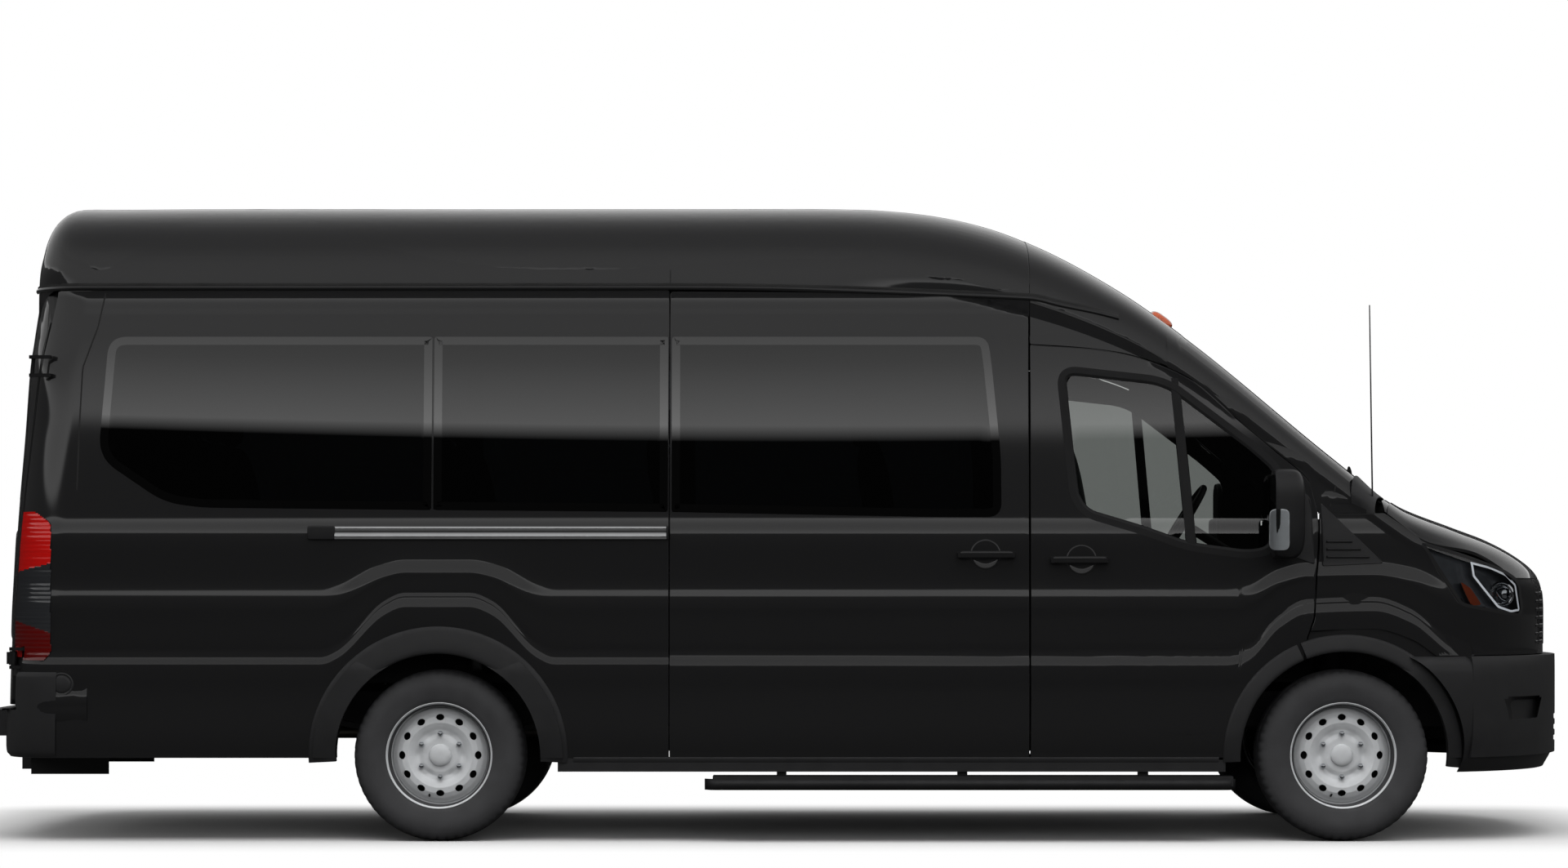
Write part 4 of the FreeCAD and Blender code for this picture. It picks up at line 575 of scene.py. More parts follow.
def bright_anodised():
    """Brushed bright-anodised aluminium, as on the door rail."""
    sockets = {"Metallic": 1.0, "Roughness": 0.24}
    return finish("bright anodised aluminium", "#d9dadb", sockets, 3.0, 0.004, 0.04)


# The tread's columns among the tyre profile's points: the middle one, and how many lie to each side of it.
TREAD_MIDDLE, TREAD_HALF = 20.0, 9.0


def tyre_rubber():
    """Carbon-black tyre rubber: a dusty sidewall with a fine grit, and a tread cut across by narrow sipes.
    Columns of the surface UV count the profile's points, and its rows count steps round the tyre."""
    material, tree, shader, place = solid("tyre rubber", {"Roughness": 0.68, "IOR": 1.52})
    uv = add(tree, "ShaderNodeSeparateXYZ", {0: place.outputs["UV"]})
    steps = add(tree, "ShaderNodeMath", {0: uv.outputs[0], 1: 0.55}, operation="MULTIPLY")
    skew = add(tree, "ShaderNodeMath", {0: uv.outputs[1], 1: 0.35, 2: steps.outputs[0]},
               operation="MULTIPLY_ADD")
    wave = add(tree, "ShaderNodeMath", {0: skew.outputs[0]}, operation="FRACT")
    slit = add(tree, "ShaderNodeMath", {0: wave.outputs[0], 1: 0.22}, operation="GREATER_THAN")
    far = add(tree, "ShaderNodeMath", {0: uv.outputs[1], 1: TREAD_MIDDLE}, operation="SUBTRACT")
    size = add(tree, "ShaderNodeMath", {0: far.outputs[0]}, operation="ABSOLUTE")
    on_tread = add(tree, "ShaderNodeMath", {0: size.outputs[0], 1: TREAD_HALF}, operation="LESS_THAN")
    cuts = add(tree, "ShaderNodeMath", {0: slit.outputs[0], 1: on_tread.outputs[0]}, operation="MULTIPLY")
    grit = add(tree, "ShaderNodeTexNoise", {"Vector": place.outputs["Object"], "Scale": 900.0, "Detail": 2.0})
    level = add(tree, "ShaderNodeMath", {0: grit.outputs["Fac"], 1: 0.05, 2: cuts.outputs[0]},
                operation="MULTIPLY_ADD")
    bump = add(tree, "ShaderNodeBump", {"Height": level.outputs[0], "Strength": 0.9, "Distance": 2.5 * MM})
    tree.links.new(bump.outputs[0], shader.inputs["Normal"])
    dust = add(tree, "ShaderNodeTexNoise", {"Vector": place.outputs["Object"], "Scale": 14.0, "Detail": 4.0})
    ramp = add(tree, "ShaderNodeValToRGB", {"Fac": dust.outputs["Fac"]})
    ramp.color_ramp.elements[0].color = linear("#29292a")
    ramp.color_ramp.elements[1].color = linear("#3a3a3c")
    tree.links.new(ramp.outputs["Color"], shader.inputs["Base Color"])
    return material


def moulded_lens(name, colour, pitch):
    """Coloured acrylic lamp cover, moulded inside with level ribs of the given pitch in millimetres."""
    material, tree, shader, place = solid(name, {"Base Color": linear(colour), "Roughness": 0.08, "IOR": 1.49,
                                                 "Coat Weight": 1.0, "Coat Roughness": 0.02})
    wave = add(tree, "ShaderNodeTexWave", {"Vector": place.outputs["Object"], "Scale": 1000 / pitch / 20},
               bands_direction="Z")
    bump = add(tree, "ShaderNodeBump", {"Height": wave.outputs["Fac"], "Strength": 0.6, "Distance": 0.8 * MM})
    tree.links.new(bump.outputs[0], shader.inputs["Normal"])
    return material


def woven_cloth(name, colour, thread):
    """Flat-woven polyester seat cloth: two crossing waves of thread-wide ribs, with a soft sheen, and painted
    shade in the weave's hollows with painted highlight on its crests.
    """
    sheen = {"Roughness": 0.9, "Sheen Weight": 0.35, "Sheen Roughness": 0.5}
    material, tree, shader, place = solid(name, sheen)
    ribs = {"Vector": place.outputs["Object"], "Scale": 1000 / thread / 20}
    along = add(tree, "ShaderNodeTexWave", ribs, bands_direction="Y")
    over = add(tree, "ShaderNodeTexWave", ribs, bands_direction="Z")
    weave = add(tree, "ShaderNodeMath", {0: along.outputs["Fac"], 1: over.outputs["Fac"]},
                operation="MAXIMUM")
    bump = add(tree, "ShaderNodeBump", {"Height": weave.outputs[0], "Strength": 0.7, "Distance": 0.3 * MM})
    tree.links.new(bump.outputs[0], shader.inputs["Normal"])
    # Painted shade and highlight: the colour follows the weave's height, 0.6 of the cloth's colour in its
    # hollows and 1.25 of it on its crests.
    ramp = add(tree, "ShaderNodeValToRGB", {"Fac": weave.outputs[0]})
    base = np.array(colour)
    ramp.color_ramp.elements[0].color = (*(base[:3] * 0.6), 1)
    ramp.color_ramp.elements[1].color = (*(base[:3] * 1.25), 1)
    tree.links.new(ramp.outputs["Color"], shader.inputs["Base Color"])
    return material


def mix_materials(settings):
    """Every material, by the short name that the pieces use. A finish ends with its grain, relief and shade."""
    LOOK.update({
        "paint": black_lacquer(tuple(settings.paint)),
        "grained": grained_polypropylene(),
        "satin": smooth_abs(),
        "silver": silver_lacquer(tuple(settings.wheels)),
        "rail": bright_anodised(),
        "tyre": tyre_rubber(),
        "cloth": woven_cloth("grey woven seat cloth", tuple(settings.seats), 2.0),
        "privacy": see_through("privacy glass", tuple(settings.privacy)),
        "clear": see_through("tinted safety glass", linear("#a2a5a3")),
        "lens": see_through("clear polycarbonate lamp cover", linear("#f4f6f7")),
        "amber": moulded_lens("amber acrylic", "#94452a", 6.0),
        "red": moulded_lens("red acrylic", "#a80d0a", 7.0),
        "dark_red": moulded_lens("dark red acrylic", "#4c0605", 7.0),
        "smoke": moulded_lens("smoked acrylic", "#232426", 9.0),
        # Extruded door and window rubber, with a matt bloom.
        "rubber": finish("black EPDM rubber", "#0b0b0c", {"Roughness": 0.65, "IOR": 1.52}, 1.2, 0.02, 0.1),
        # Black enamel fired on the panes' edges; its index counts the mirroring of both faces of the glass.
        "frit": finish("black ceramic glass edge", "#020202", {"Roughness": 0.0, "IOR": 1.96}, 4.0, 0.0, 0.05),
        # Vacuum-coated reflectors and the wheel nuts.
        "chrome": finish("chromed reflector", "#c9ccd0", {"Metallic": 1, "Roughness": 0.08}, 20, 0.02, 0.02),
        "bowl": finish("dark lamp housing", "#4a4c50", {"Roughness": 0.25, "IOR": 1.55}, 1.0, 0.01, 0.1),
        "daylight": finish("white light guide", "#e9ecf0",
                           {"Roughness": 0.2, "IOR": 1.49, "Emission Strength": 0.35,
                            "Emission Color": linear("#f4f8ff")}, 2.0, 0.01, 0.02),
        # Waxed frame and springs.
        "chassis": finish("black chassis wax", "#141415", {"Roughness": 0.55, "IOR": 1.5}, 5.0, 0.05, 0.25),
        "sealer": finish("sprayed underbody sealer", "#161616", {"Roughness": 0.75, "IOR": 1.5}, 3, 0.15, 0.2),
        "casting": finish("grey cast iron", "#4c4c4d", {"Metallic": 0.7, "Roughness": 0.6}, 1.5, 0.08, 0.25),
        "exhaust": finish("aluminised exhaust steel", "#77736c", {"Metallic": 0.9, "Roughness": 0.45},
                          2.5, 0.03, 0.3),
        "cabin": finish("dark cabin plastic", "#232427", {"Roughness": 0.7, "IOR": 1.49}, 1.4, 0.04, 0.12),
        "drum": finish("oxidised brake drum", "#121212", {"Roughness": 0.8, "IOR": 1.5}, 3.0, 0.05, 0.1),
        "mirror": finish("mirror glass", "#a8adb2", {"Metallic": 1.0, "Roughness": 0.02}, 30.0, 0.001, 0.02),
        "mat": finish("ribbed rubber floor mat", "#1b1b1c", {"Roughness": 0.85, "IOR": 1.5}, 2.5, 0.2, 0.2),
    })


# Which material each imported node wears; words in its name decide the rest.
NODE_LOOK = {
    "chassis_frame": "chassis", "front_suspension": "chassis", "rear_axle": "casting",
    "leaf_springs": "chassis", "driveline": "casting", "engine_block": "casting", "fuel_tank": "satin",
    "exhaust": "exhaust",
    "towing_receiver": "chassis", "floor_pan": "mat", "wheel_housings": "mat", "bulkhead": "sealer",
    "dashboard": "cabin", "steering_wheel": "satin", "right_knuckle": "casting", "left_knuckle": "casting",
    "sills": "grained", "running_boards": "grained", "cowl": "grained", "aerial": "satin",
    "rear_bumper": "grained", "front_bumper": "grained", "front_seats": "cloth", "passenger_seats": "cloth",
    "tail_lamps": "red", "front_lamps": "lens", "clearance_lamps": "amber", "wipers": "satin",
    "windscreen": "clear", "right_front_window": "clear", "left_front_window": "clear",
    "side_windows": "privacy", "right_rear_window": "privacy", "left_rear_window": "privacy",
}
WORD_LOOK = (("tyre", "tyre"), ("rim", "silver"), ("moulding", "grained"), ("mirror", "grained"))


def dress_nodes():
    """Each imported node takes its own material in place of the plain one."""
    for name, node in NODES.items():
        look = NODE_LOOK.get(name, "paint")
        look = next((worn for word, worn in WORD_LOOK if word in name), look)
        node.data.materials.clear()
        node.data.materials.append(LOOK[look])
    return list(NODES.values())


# Bodywork. The windows' outlines in side view, and the tail lamp's.
REAR_GLASS = rounded([(-2795, 2095), (-2833, 1592), (-2558, 1406), (-2400, 1384), (-1451, 1374),
                      (-1451, 2095)], [75, 90, 120, 60, 6, 6])
MIDDLE_GLASS = rounded([(-1443, 2095), (-1443, 1374), (-472, 1366), (-472, 2095)], 6)
SLIDE_GLASS = rounded([(-456, 2095), (-456, 1366), (640, 1345), (910, 1345), (908, 1600), (870, 1990),
                       (855, 2095)], [6, 6, 40, 60, 60, 60, 110])
FRONT_GLASS = rounded([(1165, 1950), (1590, 1903), (1952, 1629), (2060, 1530), (2026, 1215), (1931, 1197),
                       (1685, 1230), (1495, 1298), (1268, 1366), (1218, 1430)],
                      [60, 80, 120, 60, 50, 60, 60, 60, 90, 60])
LAMP_SIDE = rounded([(-3026, 1319), (-3093, 1366), (-3420, 1366), (-3420, 749), (-3052, 749), (-3022, 782)],
                    12, 8)
# The gap between a panel's opening and its sheet, and the sliding door's front edge and corner.
REAR_PANEL_GAP = 5.5
SLIDE_FRONT, SLIDE_CORNER = 1022.0, 14
SLIDE_TOP = ([-464, 330, 700, 1030], [2281, 2277, 2262, 2241])
# How far the sheets reach in behind a window's black edge, and how wide the wheels' openings are cut in them.
UNDER_EDGE = 18
REAR_OPENING, FRONT_OPENING = 470, 462


def window_glass(loop, side, name, replaces=()):
    """A flush window: the pane on the skin, its black printed edge and the rubber step round it."""
    parts = [pane(grown(loop, -28), side, PROUD + 0.2),
             ring(loop, grown(loop, -34), side, PROUD + 0.6, PROUD + 0.6, 1, 3),
             ring(grown(loop, 3), loop, side, PROUD - 4, PROUD + 0.6, 2)]
    return build(name, parts, ["privacy", "frit", "rubber"], "body", replaces)


def rear_side(side, name):
    """The side behind the sliding door, and on the left as far as the front door: columns along the side, then
    round the rear corner, with the windows, the tail lamp and the wheel's opening left out."""
    front_edge = (SLIDE_REAR if side < 0 else PILLAR) - REAR_PANEL_GAP
    start = tail_start(LEVELS)
    part = spread(0, 1, 1 / (190 if side > 0 else 120))[:, None]
    x = front_edge + (start[None] - front_edge) * part
    z = level_height(x, np.broadcast_to(LEVELS[None], x.shape))
    grid = np.vstack([skin(side, x, z, PROUD), tail_corner(side, LEVELS, 889.5, 22, PROUD)[1:]])
    mx, mz = middle_of(grid[..., 0], grid[..., 2])
    keep = np.hypot(mx - REAR_AXLE, mz - AXLE_HEIGHT) > REAR_OPENING
    for loop in (REAR_GLASS, MIDDLE_GLASS) + ((SLIDE_GLASS,) if side > 0 else ()):
        keep &= ~inside(mx, mz, grown(loop, -UNDER_EDGE))
    keep &= ~((mx < -3095) & (mz < 692))
    keep &= ~inside(mx, mz, grown(LAMP_SIDE, -14))
    edge = np.stack([skin(side, front_edge + out, z[0], PROUD + down) for out, down in HEM])
    return build(name, [sheet(grid, keep=keep), sheet(edge)], ["paint"])


def door_sheet(side, x, z, keep):
    """A door's sheet on the skin and its turned-in edge."""
    return [sheet(skin(side, x, z, PROUD), keep=keep), hem(column_loop(x, z), side)]


def sliding_door_skin():
    """The sliding door's sheet: columns between the sill and the drip channel, with rounded corners, round its
    window."""
    first = SLIDE_REAR + 2
    x = np.unique(np.concatenate([spread(first, SLIDE_FRONT, 20.0), first + np.array([2, 5, 9, 14])]))
    far = np.minimum(x - SLIDE_REAR - 2, SLIDE_FRONT - x)
    turn = SLIDE_CORNER - np.sqrt(np.maximum(0, SLIDE_CORNER ** 2 - np.maximum(0, SLIDE_CORNER - far) ** 2))
    grid_x, grid_z = columns(x, SILL_TOP + 2 + 0.3 * turn, np.interp(x, *SLIDE_TOP) - turn, 12.0)
    keep = ~inside(*middle_of(grid_x, grid_z), grown(SLIDE_GLASS, -UNDER_EDGE))
    return build("sliding_door_skin", door_sheet(-1, grid_x, grid_z, keep), ["paint"])


# The front door's upper and front edges in side view.
DOOR_TOP = np.array([(1033, 2060), (1212, 2049), (1402, 2026), (1517, 1995), (1611, 1958), (1687, 1921),
                     (1877, 1759), (2066, 1598), (2142, 1536), (2186, 1485), (2199, 1438), (2219, 1360)], float)
DOOR_EDGE = np.array([(2155, 751), (2169, 845), (2198, 930), (2209, 1119), (2219, 1251), (2219, 1360)], float)
DOOR_TOP_AT = smooth(DOOR_TOP)
DOOR_EDGE_AT = smooth(DOOR_EDGE[:, ::-1])
DOOR_FOOT = DOOR_EDGE[0, 0]
DOOR_OPENING = 434


def door_low(x):
    """The front door's lower edge: the sill, then the wheel opening's circle, then up its front edge."""
    arch = AXLE_HEIGHT + np.sqrt(np.maximum(0, DOOR_OPENING ** 2 - (np.asarray(x) - FRONT_AXLE) ** 2))
    edge = np.interp(x, DOOR_EDGE[:-1, 0], DOOR_EDGE[:-1, 1])
    return np.where(x < FRONT_AXLE - DOOR_OPENING, SILL_TOP, np.where(x < DOOR_FOOT, arch, edge))


def front_door_skin(side, name):
    """The front door's sheet: columns between its lower and upper edges, round its window."""
    x = np.unique(np.concatenate([spread(PILLAR + 2.5, 1880, 14.0), spread(1880, 2152, 8.0),
                                  spread(DOOR_FOOT, 2216, 3.5)]))
    grid_x, grid_z = columns(x, door_low(x) + 2.0, DOOR_TOP_AT(x) - 2.0, 11.0)
    keep = ~inside(*middle_of(grid_x, grid_z), grown(FRONT_GLASS, 10))
    return build(f"{name}_front_door_skin", door_sheet(side, grid_x, grid_z, keep), ["paint"],
                 f"{name}_front_door")


# The photograph's camera: its place, its lens in the picture's pixels and the pixel straight ahead of it.
CAMERA_X, CAMERA_Z, CAMERA_OUT = 143, 1080, 16388
LENS_PIXELS = 4554.3
AHEAD_U, AHEAD_V = 999.5, 711.5
# Points read off the picture, in its pixels, and the millimetres to a pixel on the door and low on the side.
DIVIDER_PIXELS, DOOR_SCALE = [(1436, 462), (1444, 462), (1464, 668), (1455, 668)], 3.375
SIDE_CAP_PIXEL, SIDE_SCALE = [(77, 838)], 3.38
GUIDE_PIXELS = [(1795, 688), (1822, 694), (1845, 703), (1860, 716), (1866, 748), (1852, 750), (1832, 744),
                (1812, 722), (1798, 706)]
AMBER_PIXELS = [(1783, 712), (1797, 720), (1812, 741), (1797, 741)]
PROJECTOR_PIXEL = [(1838, 728)]
FOG_PIXELS = [(1832, 855), (1842, 850), (1900, 852), (1908, 862), (1895, 895), (1845, 898)]
FOG_LENS_PIXELS = [(1853, 861), (1878, 860), (1880, 878), (1855, 880)]
REAR_SEAM_PIXELS = [(127, 358), (118, 400), (100, 450), (97, 520), (95, 600)]
SCREEN_HEAD_PIXELS = [(1475, 470), (1500, 492), (1530, 512)]
SCREEN_FOOT_PIXELS = [(1635, 595), (1628, 620)]


def picture_points(pixels, scale):
    """Side-view places of points of the picture, at scale millimetres to a pixel."""
    u, v = np.array(pixels, float).T
    return np.stack([CAMERA_X + (u - AHEAD_U) * scale, CAMERA_Z - (v - AHEAD_V) * scale], -1)


def points_at(pixels, y):
    """Side-view places of points of the picture that lie at y."""
    return picture_points(pixels, (y + CAMERA_OUT) / LENS_PIXELS)


def front_door_glass(side, name):
    """Frame and glass of the front door: a broad black rubber frame, the pane, and the upright divider."""
    outer, inner = grown(FRONT_GLASS, 26), grown(FRONT_GLASS, -12)
    bar = picture_points(DIVIDER_PIXELS, DOOR_SCALE)
    t = np.linspace(0, 1, 24)[:, None]
    left, right = bar[0] + (bar[3] - bar[0]) * t, bar[1] + (bar[2] - bar[1]) * t
    grid = np.stack([skin(side, line[:, 0] + step, line[:, 1], proud) for line, step, proud in
                     ((left, -8, -2), (left, 0, 1.5), (right, 0, 1.5), (right, 8, -2))])
    patches = [pane(inner, side, -1.0), ring(outer, FRONT_GLASS, side, PROUD + 0.5, PROUD + 1.0, 1, 4),
               ring(FRONT_GLASS, inner, side, PROUD + 1.0, -2.5, 1, 4), sheet(grid, 1)]
    return build(f"{name}_front_door_glass", patches, ["clear", "rubber"], f"{name}_front_door",
                 (f"{name}_front_window",))


# The wing's front edge by height: the seams of the bumper, the lamp and the bonnet.
WING_FRONT = ([753, 975, 984, 1119, 1236, 1262, 1357], [2886, 2822, 2811, 2719, 2650, 2640, 2500])
WING_LOW = 771.0


def wing_skin(side, name):
    """The front wing: rows of height, from the door's edge to the lamp and bonnet seams. A row's ends and its
    height hang on each other, so they are found in five rounds."""
    levels = np.concatenate([spread(690, 735, 9.0), spread(738, 765, 3.0), spread(774, 1357, 9.0)])[:, None]
    part = np.linspace(0, 1, 64)[None]
    z = levels + 0 * part
    for _ in range(5):
        left = DOOR_EDGE_AT(z) + 8.5
        right = np.interp(z, *WING_FRONT) - 3
        x = left + (right - left) * part
        z = np.maximum(level_height(x, levels), WING_LOW)
    mx, mz = middle_of(x, z)
    keep = np.hypot(mx - FRONT_AXLE, mz - AXLE_HEIGHT) > FRONT_OPENING
    patches = [sheet(skin(side, x, z, PROUD), keep=keep), hem(column_loop(x.T, z.T), side)]
    return build(f"{name}_wing_skin", patches, ["paint"])


ROOF_SEAMS = ((REAR_END + 232, SLIDE_REAR - 3, "roof_rear"), (SLIDE_REAR + 2, PILLAR - 4, "roof_middle"))


def over_top(x):
    """Sections over the top from cant line to cant line: z by sin(angle) ^ (2 / 3.6), y by
    cos(angle) ^ (2 / 2.6), with the angles set close where either turns fast."""
    half = np.unique(np.concatenate([np.arcsin(np.linspace(0, 1, 22) ** 1.8), np.linspace(0, np.pi / 2, 32)]))
    angle = np.concatenate([half, np.pi - half[-2::-1]])[None]
    cant_line = cant_height(x)
    gain = (crown(x) + 0.2 - cant_line)[:, None] * np.abs(np.sin(angle)) ** (2 / UP_POWER)
    widest = across(x, cant_line, PROUD)[:, None] - lean(x[:, None], gain)
    y = -widest * signed(np.cos(angle), 2 / OVER_POWER)
    return np.stack([np.broadcast_to(x[:, None], y.shape), y, cant_line[:, None] + gain], -1)


def roof_skin():
    """The high roof in two sheets: sections over the top from the drip channel, carried along the van."""
    things = []
    for x0, x1, name in ROOF_SEAMS:
        x = spread(x0, x1, 30.0)
        if x0 < -3000:
            x = np.unique(np.concatenate([x, spread(x0, x0 + 130, 6.0)]))
        grid = over_top(x)
        z = GUTTER + 4 + (cant_height(x)[:, None] - GUTTER - 4) * np.linspace(0, 1, 5)[None]
        walls = [sheet(skin(side, np.broadcast_to(x[:, None], z.shape), z, PROUD)) for side in (-1, 1)]
        edge = grid[-1][None] - np.array([(0, 0, 0), (-1.5, 0, 1), (-2.2, 0, 8)])[:, None]
        things.append(build(name, [sheet(grid), *walls, sheet(edge)], ["paint"]))
    return things


def screen_low(x):
    """Side-view height of the windscreen's side edge."""
    return np.interp(x, [1635, 1900, 2200, 2533], [2074, 1868, 1617, 1340])


def screen_head(fraction, middle):
    """The windscreen's upper edge in plan: it runs back towards its ends, from that place in the middle."""
    return middle - 92 * np.abs(fraction) ** 2.2


def cab_skin():
    """The cab's top from the roof seam to the windscreen, and beside it the band over the door and the screen
    pillar."""
    fraction, start = np.linspace(-1, 1, 80)[None], PILLAR + 2
    x = start + (screen_head(fraction, 1725) - start) * np.linspace(0, 1, 40)[:, None]
    edge = across(x, np.minimum(cant_height(x), crown(x) - 5), PROUD)
    patches = [sheet(top(x, fraction * edge * 0.9995, PROUD))]
    band, pillar = spread(start, 1633, 16.0), spread(1600, 2420, 14.0)
    band_high = cant_height(band)
    pillar_low = np.where(pillar < DOOR_TOP[-1, 0], DOOR_TOP_AT(pillar) + 5, DOOR_TOP[-1, 1])
    pillar_high = screen_low(pillar) + np.where(pillar < 1650, 30, 2)
    for side in (-1, 1):
        for x, low, high, step in ((band, DOOR_TOP_AT(band) + 5, band_high, 10.0),
                                   (pillar, pillar_low, pillar_high, 9.0)):
            patches.append(sheet(skin(side, *columns(x, np.minimum(low, high), high, step), PROUD)))
    return build("cab_skin", patches, ["paint"])


# The cowl's arc in plan: its radius, and how far ahead of the front axle it reaches.
COWL_RADIUS, COWL_AHEAD = 3280, 284


def cowl_edge(y, back):
    """The cowl's arcs in plan: circles about one point behind the cab, moved back."""
    return FRONT_AXLE + COWL_AHEAD - COWL_RADIUS + np.sqrt((COWL_RADIUS - back) ** 2 - y ** 2)


def windscreen_glass():
    """The windscreen: across by a part of its own width, and down from the roof's edge to the cowl."""
    fraction, down = np.linspace(-1, 1, 61)[None], np.linspace(0, 1, 60)[:, None]
    first = screen_head(fraction, 1727)
    last = cowl_edge(fraction * 925, 100)
    x = first + (last - first) * down
    grid = top(x, fraction * across(x, screen_low(x) - 6), -1.0)
    edge = (np.abs(fraction) > 0.955) | (down < 0.05) | (down > 0.93)
    printed = edge[:-1, :-1] | edge[1:, 1:]
    return build("windscreen_glass", [sheet(grid, 0, ~printed), sheet(grid, 1, printed)],
                 ["clear", "frit"], replaces=("windscreen",))


BONNET_SIDE = smooth([(2498, 1368), (2685, 1239), (2873, 1204), (3010, 1136), (3067, 1094), (3300, 1092)])


def bonnet_skin():
    """The bonnet: from the cowl's arc to its front edge, across by a part of its own width, with two shallow
    ridges, each exp(-(distance / 45)^2) high."""
    fraction, along = np.linspace(-1, 1, 81)[None], np.linspace(0, 1, 90)[:, None]
    first = cowl_edge(fraction * 880, -16)
    x = first + (3290 - first) * along
    y = fraction * across(x, BONNET_SIDE(x), PROUD)
    ridge = 5.0 * np.exp(-((np.abs(y) - 560 + 0.25 * (x - 2600)) / 45) ** 2) * np.clip((3180 - x) / 200, 0, 1)
    ridge = ridge * (1 - np.abs(fraction) ** 8)
    grid = top(x, y, PROUD)
    grid[..., 2] += ridge
    patches = [sheet(grid)]
    for rim in (grid[0], grid[:, 0], grid[:, -1]):
        patches.append(sheet(np.stack([rim, rim - [0, 0, 2], rim * [0.999, 0.998, 1] - [0, 0, 12]])))
    return build("bonnet_skin", patches, ["paint"], "bonnet")


# The headlamp's outline in side view, and how deep its bowl is sunk.
LAMP = rounded([(2652, 1236), (2831, 1187), (3024, 1123), (3100, 1078), (3116, 958), (3096, 934), (2853, 975),
                (2819, 986), (2727, 1119)], [12, 40, 60, 40, 20, 20, 30, 10, 60], 9.0)
BOWL_DEPTH = 55


def headlamp(side, name):
    """A headlamp: clear cover on the skin, a dark sunk bowl, a projector, a white light guide and an amber side
    reflector."""
    cover = pane(LAMP, side, PROUD, 0, 9)
    wall = ring(LAMP, grown(LAMP, -6), side, PROUD - 1, -BOWL_DEPTH, 1, 5)
    bowl = pane(grown(LAMP, -5), side, -BOWL_DEPTH, 1, 9)
    guide = even(points_at(GUIDE_PIXELS, -800), 12)
    strip = [ring(guide, grown(guide, -9), side, -16, -14, 2, 3),
             ring(grown(guide, -9), grown(guide, -10), side, -14, -40, 1, 2)]
    frame_ring = ring(grown(LAMP, 6), grown(LAMP, -8), side, PROUD + 0.3, PROUD + 0.5, 5, 3)
    amber = rounded(points_at(AMBER_PIXELS, -850), 12, 8)
    marker = [pane(amber, side, -8, 3, 6), ring(amber, grown(amber, 1.5), side, -8, -40, 3, 2)]
    centre = points_at(PROJECTOR_PIXEL, -800)[0]
    y = float(side * (across(centre[0], centre[1]) - 40))
    ball = turned([(0, 54), (8, 54), (13, 50), (15, 44), (4, 40), (12, 34), (18, 25), (22, 13), (23, 0.01)],
                  (centre[0], y, centre[1]), "y", 40, 4, side)
    lens = turned([(10, 30), (17, 22), (21, 12), (22, 0.01)], (centre[0] + 22, y, centre[1]), "x", 32, 4)
    return build(f"{name}_headlamp", [cover, wall, bowl, frame_ring, *strip, *marker, ball, lens],
                 ["lens", "bowl", "daylight", "amber", "chrome", "rubber"],
                 replaces=("front_lamps",))


def around(x, z, proud=0.0):
    """The greatest turn of each row of the nose: to where it meets the side at x."""
    return np.degrees(np.arctan2(across(x, z, proud), x - FRONT_AXLE))


def nose_bar(level, reach, steps, section, material):
    """A level bar across the nose: a section of (proud, rise) points carried round from -reach to reach."""
    proud, rise = np.array(section, float).T
    turn = np.linspace(-reach, reach, steps)[:, None]
    return patch(nose(turn + 0 * rise, level + rise, proud), material, away=(2900, 0, level))


# The grille's half width and its lower and upper edges.
GRILLE_HALF, GRILLE_LOW, GRILLE_HIGH = 560, 812, 1040


def front_fascia():
    """The panel under the bonnet and between the lamps: turn about the front axle by height, with a generic
    grille of level bars and upright dividers."""
    z = spread(772, 1088, 9.0)[None]
    grid = nose(around(2873 - 0.31 * (z - 775), z) * np.linspace(-1, 1, 110)[:, None], z, PROUD)
    mx, mz = middle_of(grid[..., 0], grid[..., 2])
    my = far_out(grid)
    grille = (my < GRILLE_HALF) & (mz > GRILLE_LOW) & (mz < GRILLE_HIGH)
    lamp = inside(mx, mz, grown(LAMP, -6)) & (my > GRILLE_HALF)
    back = nose(np.linspace(-60, 60, 90)[:, None], spread(795, 1055, 10.0)[None], -28)
    patches = [sheet(grid, keep=~lamp & ~grille), sheet(back, 1, far_out(back) < GRILLE_HALF + 15)]
    for level in np.linspace(822, 1028, 7):
        patches.append(nose_bar(level, 34, 60, [(-26, -6), (0, -8), (3, -4), (3, 4), (0, 8), (-26, 6)], 2))
    level = spread(GRILLE_LOW, GRILLE_HIGH, 12.0)[:, None]
    proud, aside = np.array([(-26, -0.9), (2, -0.7), (4, 0), (2, 0.7), (-26, 0.9)]).T
    for middle in np.degrees(np.arctan2([-540, -360, -180, 0, 180, 360, 540], 900.0)):
        patches.append(patch(nose(middle + aside, level, proud), 2, away=(2700, 0, 926)))
    return build("front_fascia", patches, ["paint", "rubber", "satin"])


# How far the bumper stands out of the body, by height, and its lower air opening.
BUMPER_OUT = smooth([(285, 2), (300, 10), (350, 34), (430, 46), (520, 50), (640, 51), (700, 50), (735, 44),
                     (757, 30), (766, 12)])
AIR_HALF, AIR_LOW, AIR_HIGH = 480, 380, 520
# The circle about the front wheel along which the bumper ends.
BUMPER_ARCH = 489


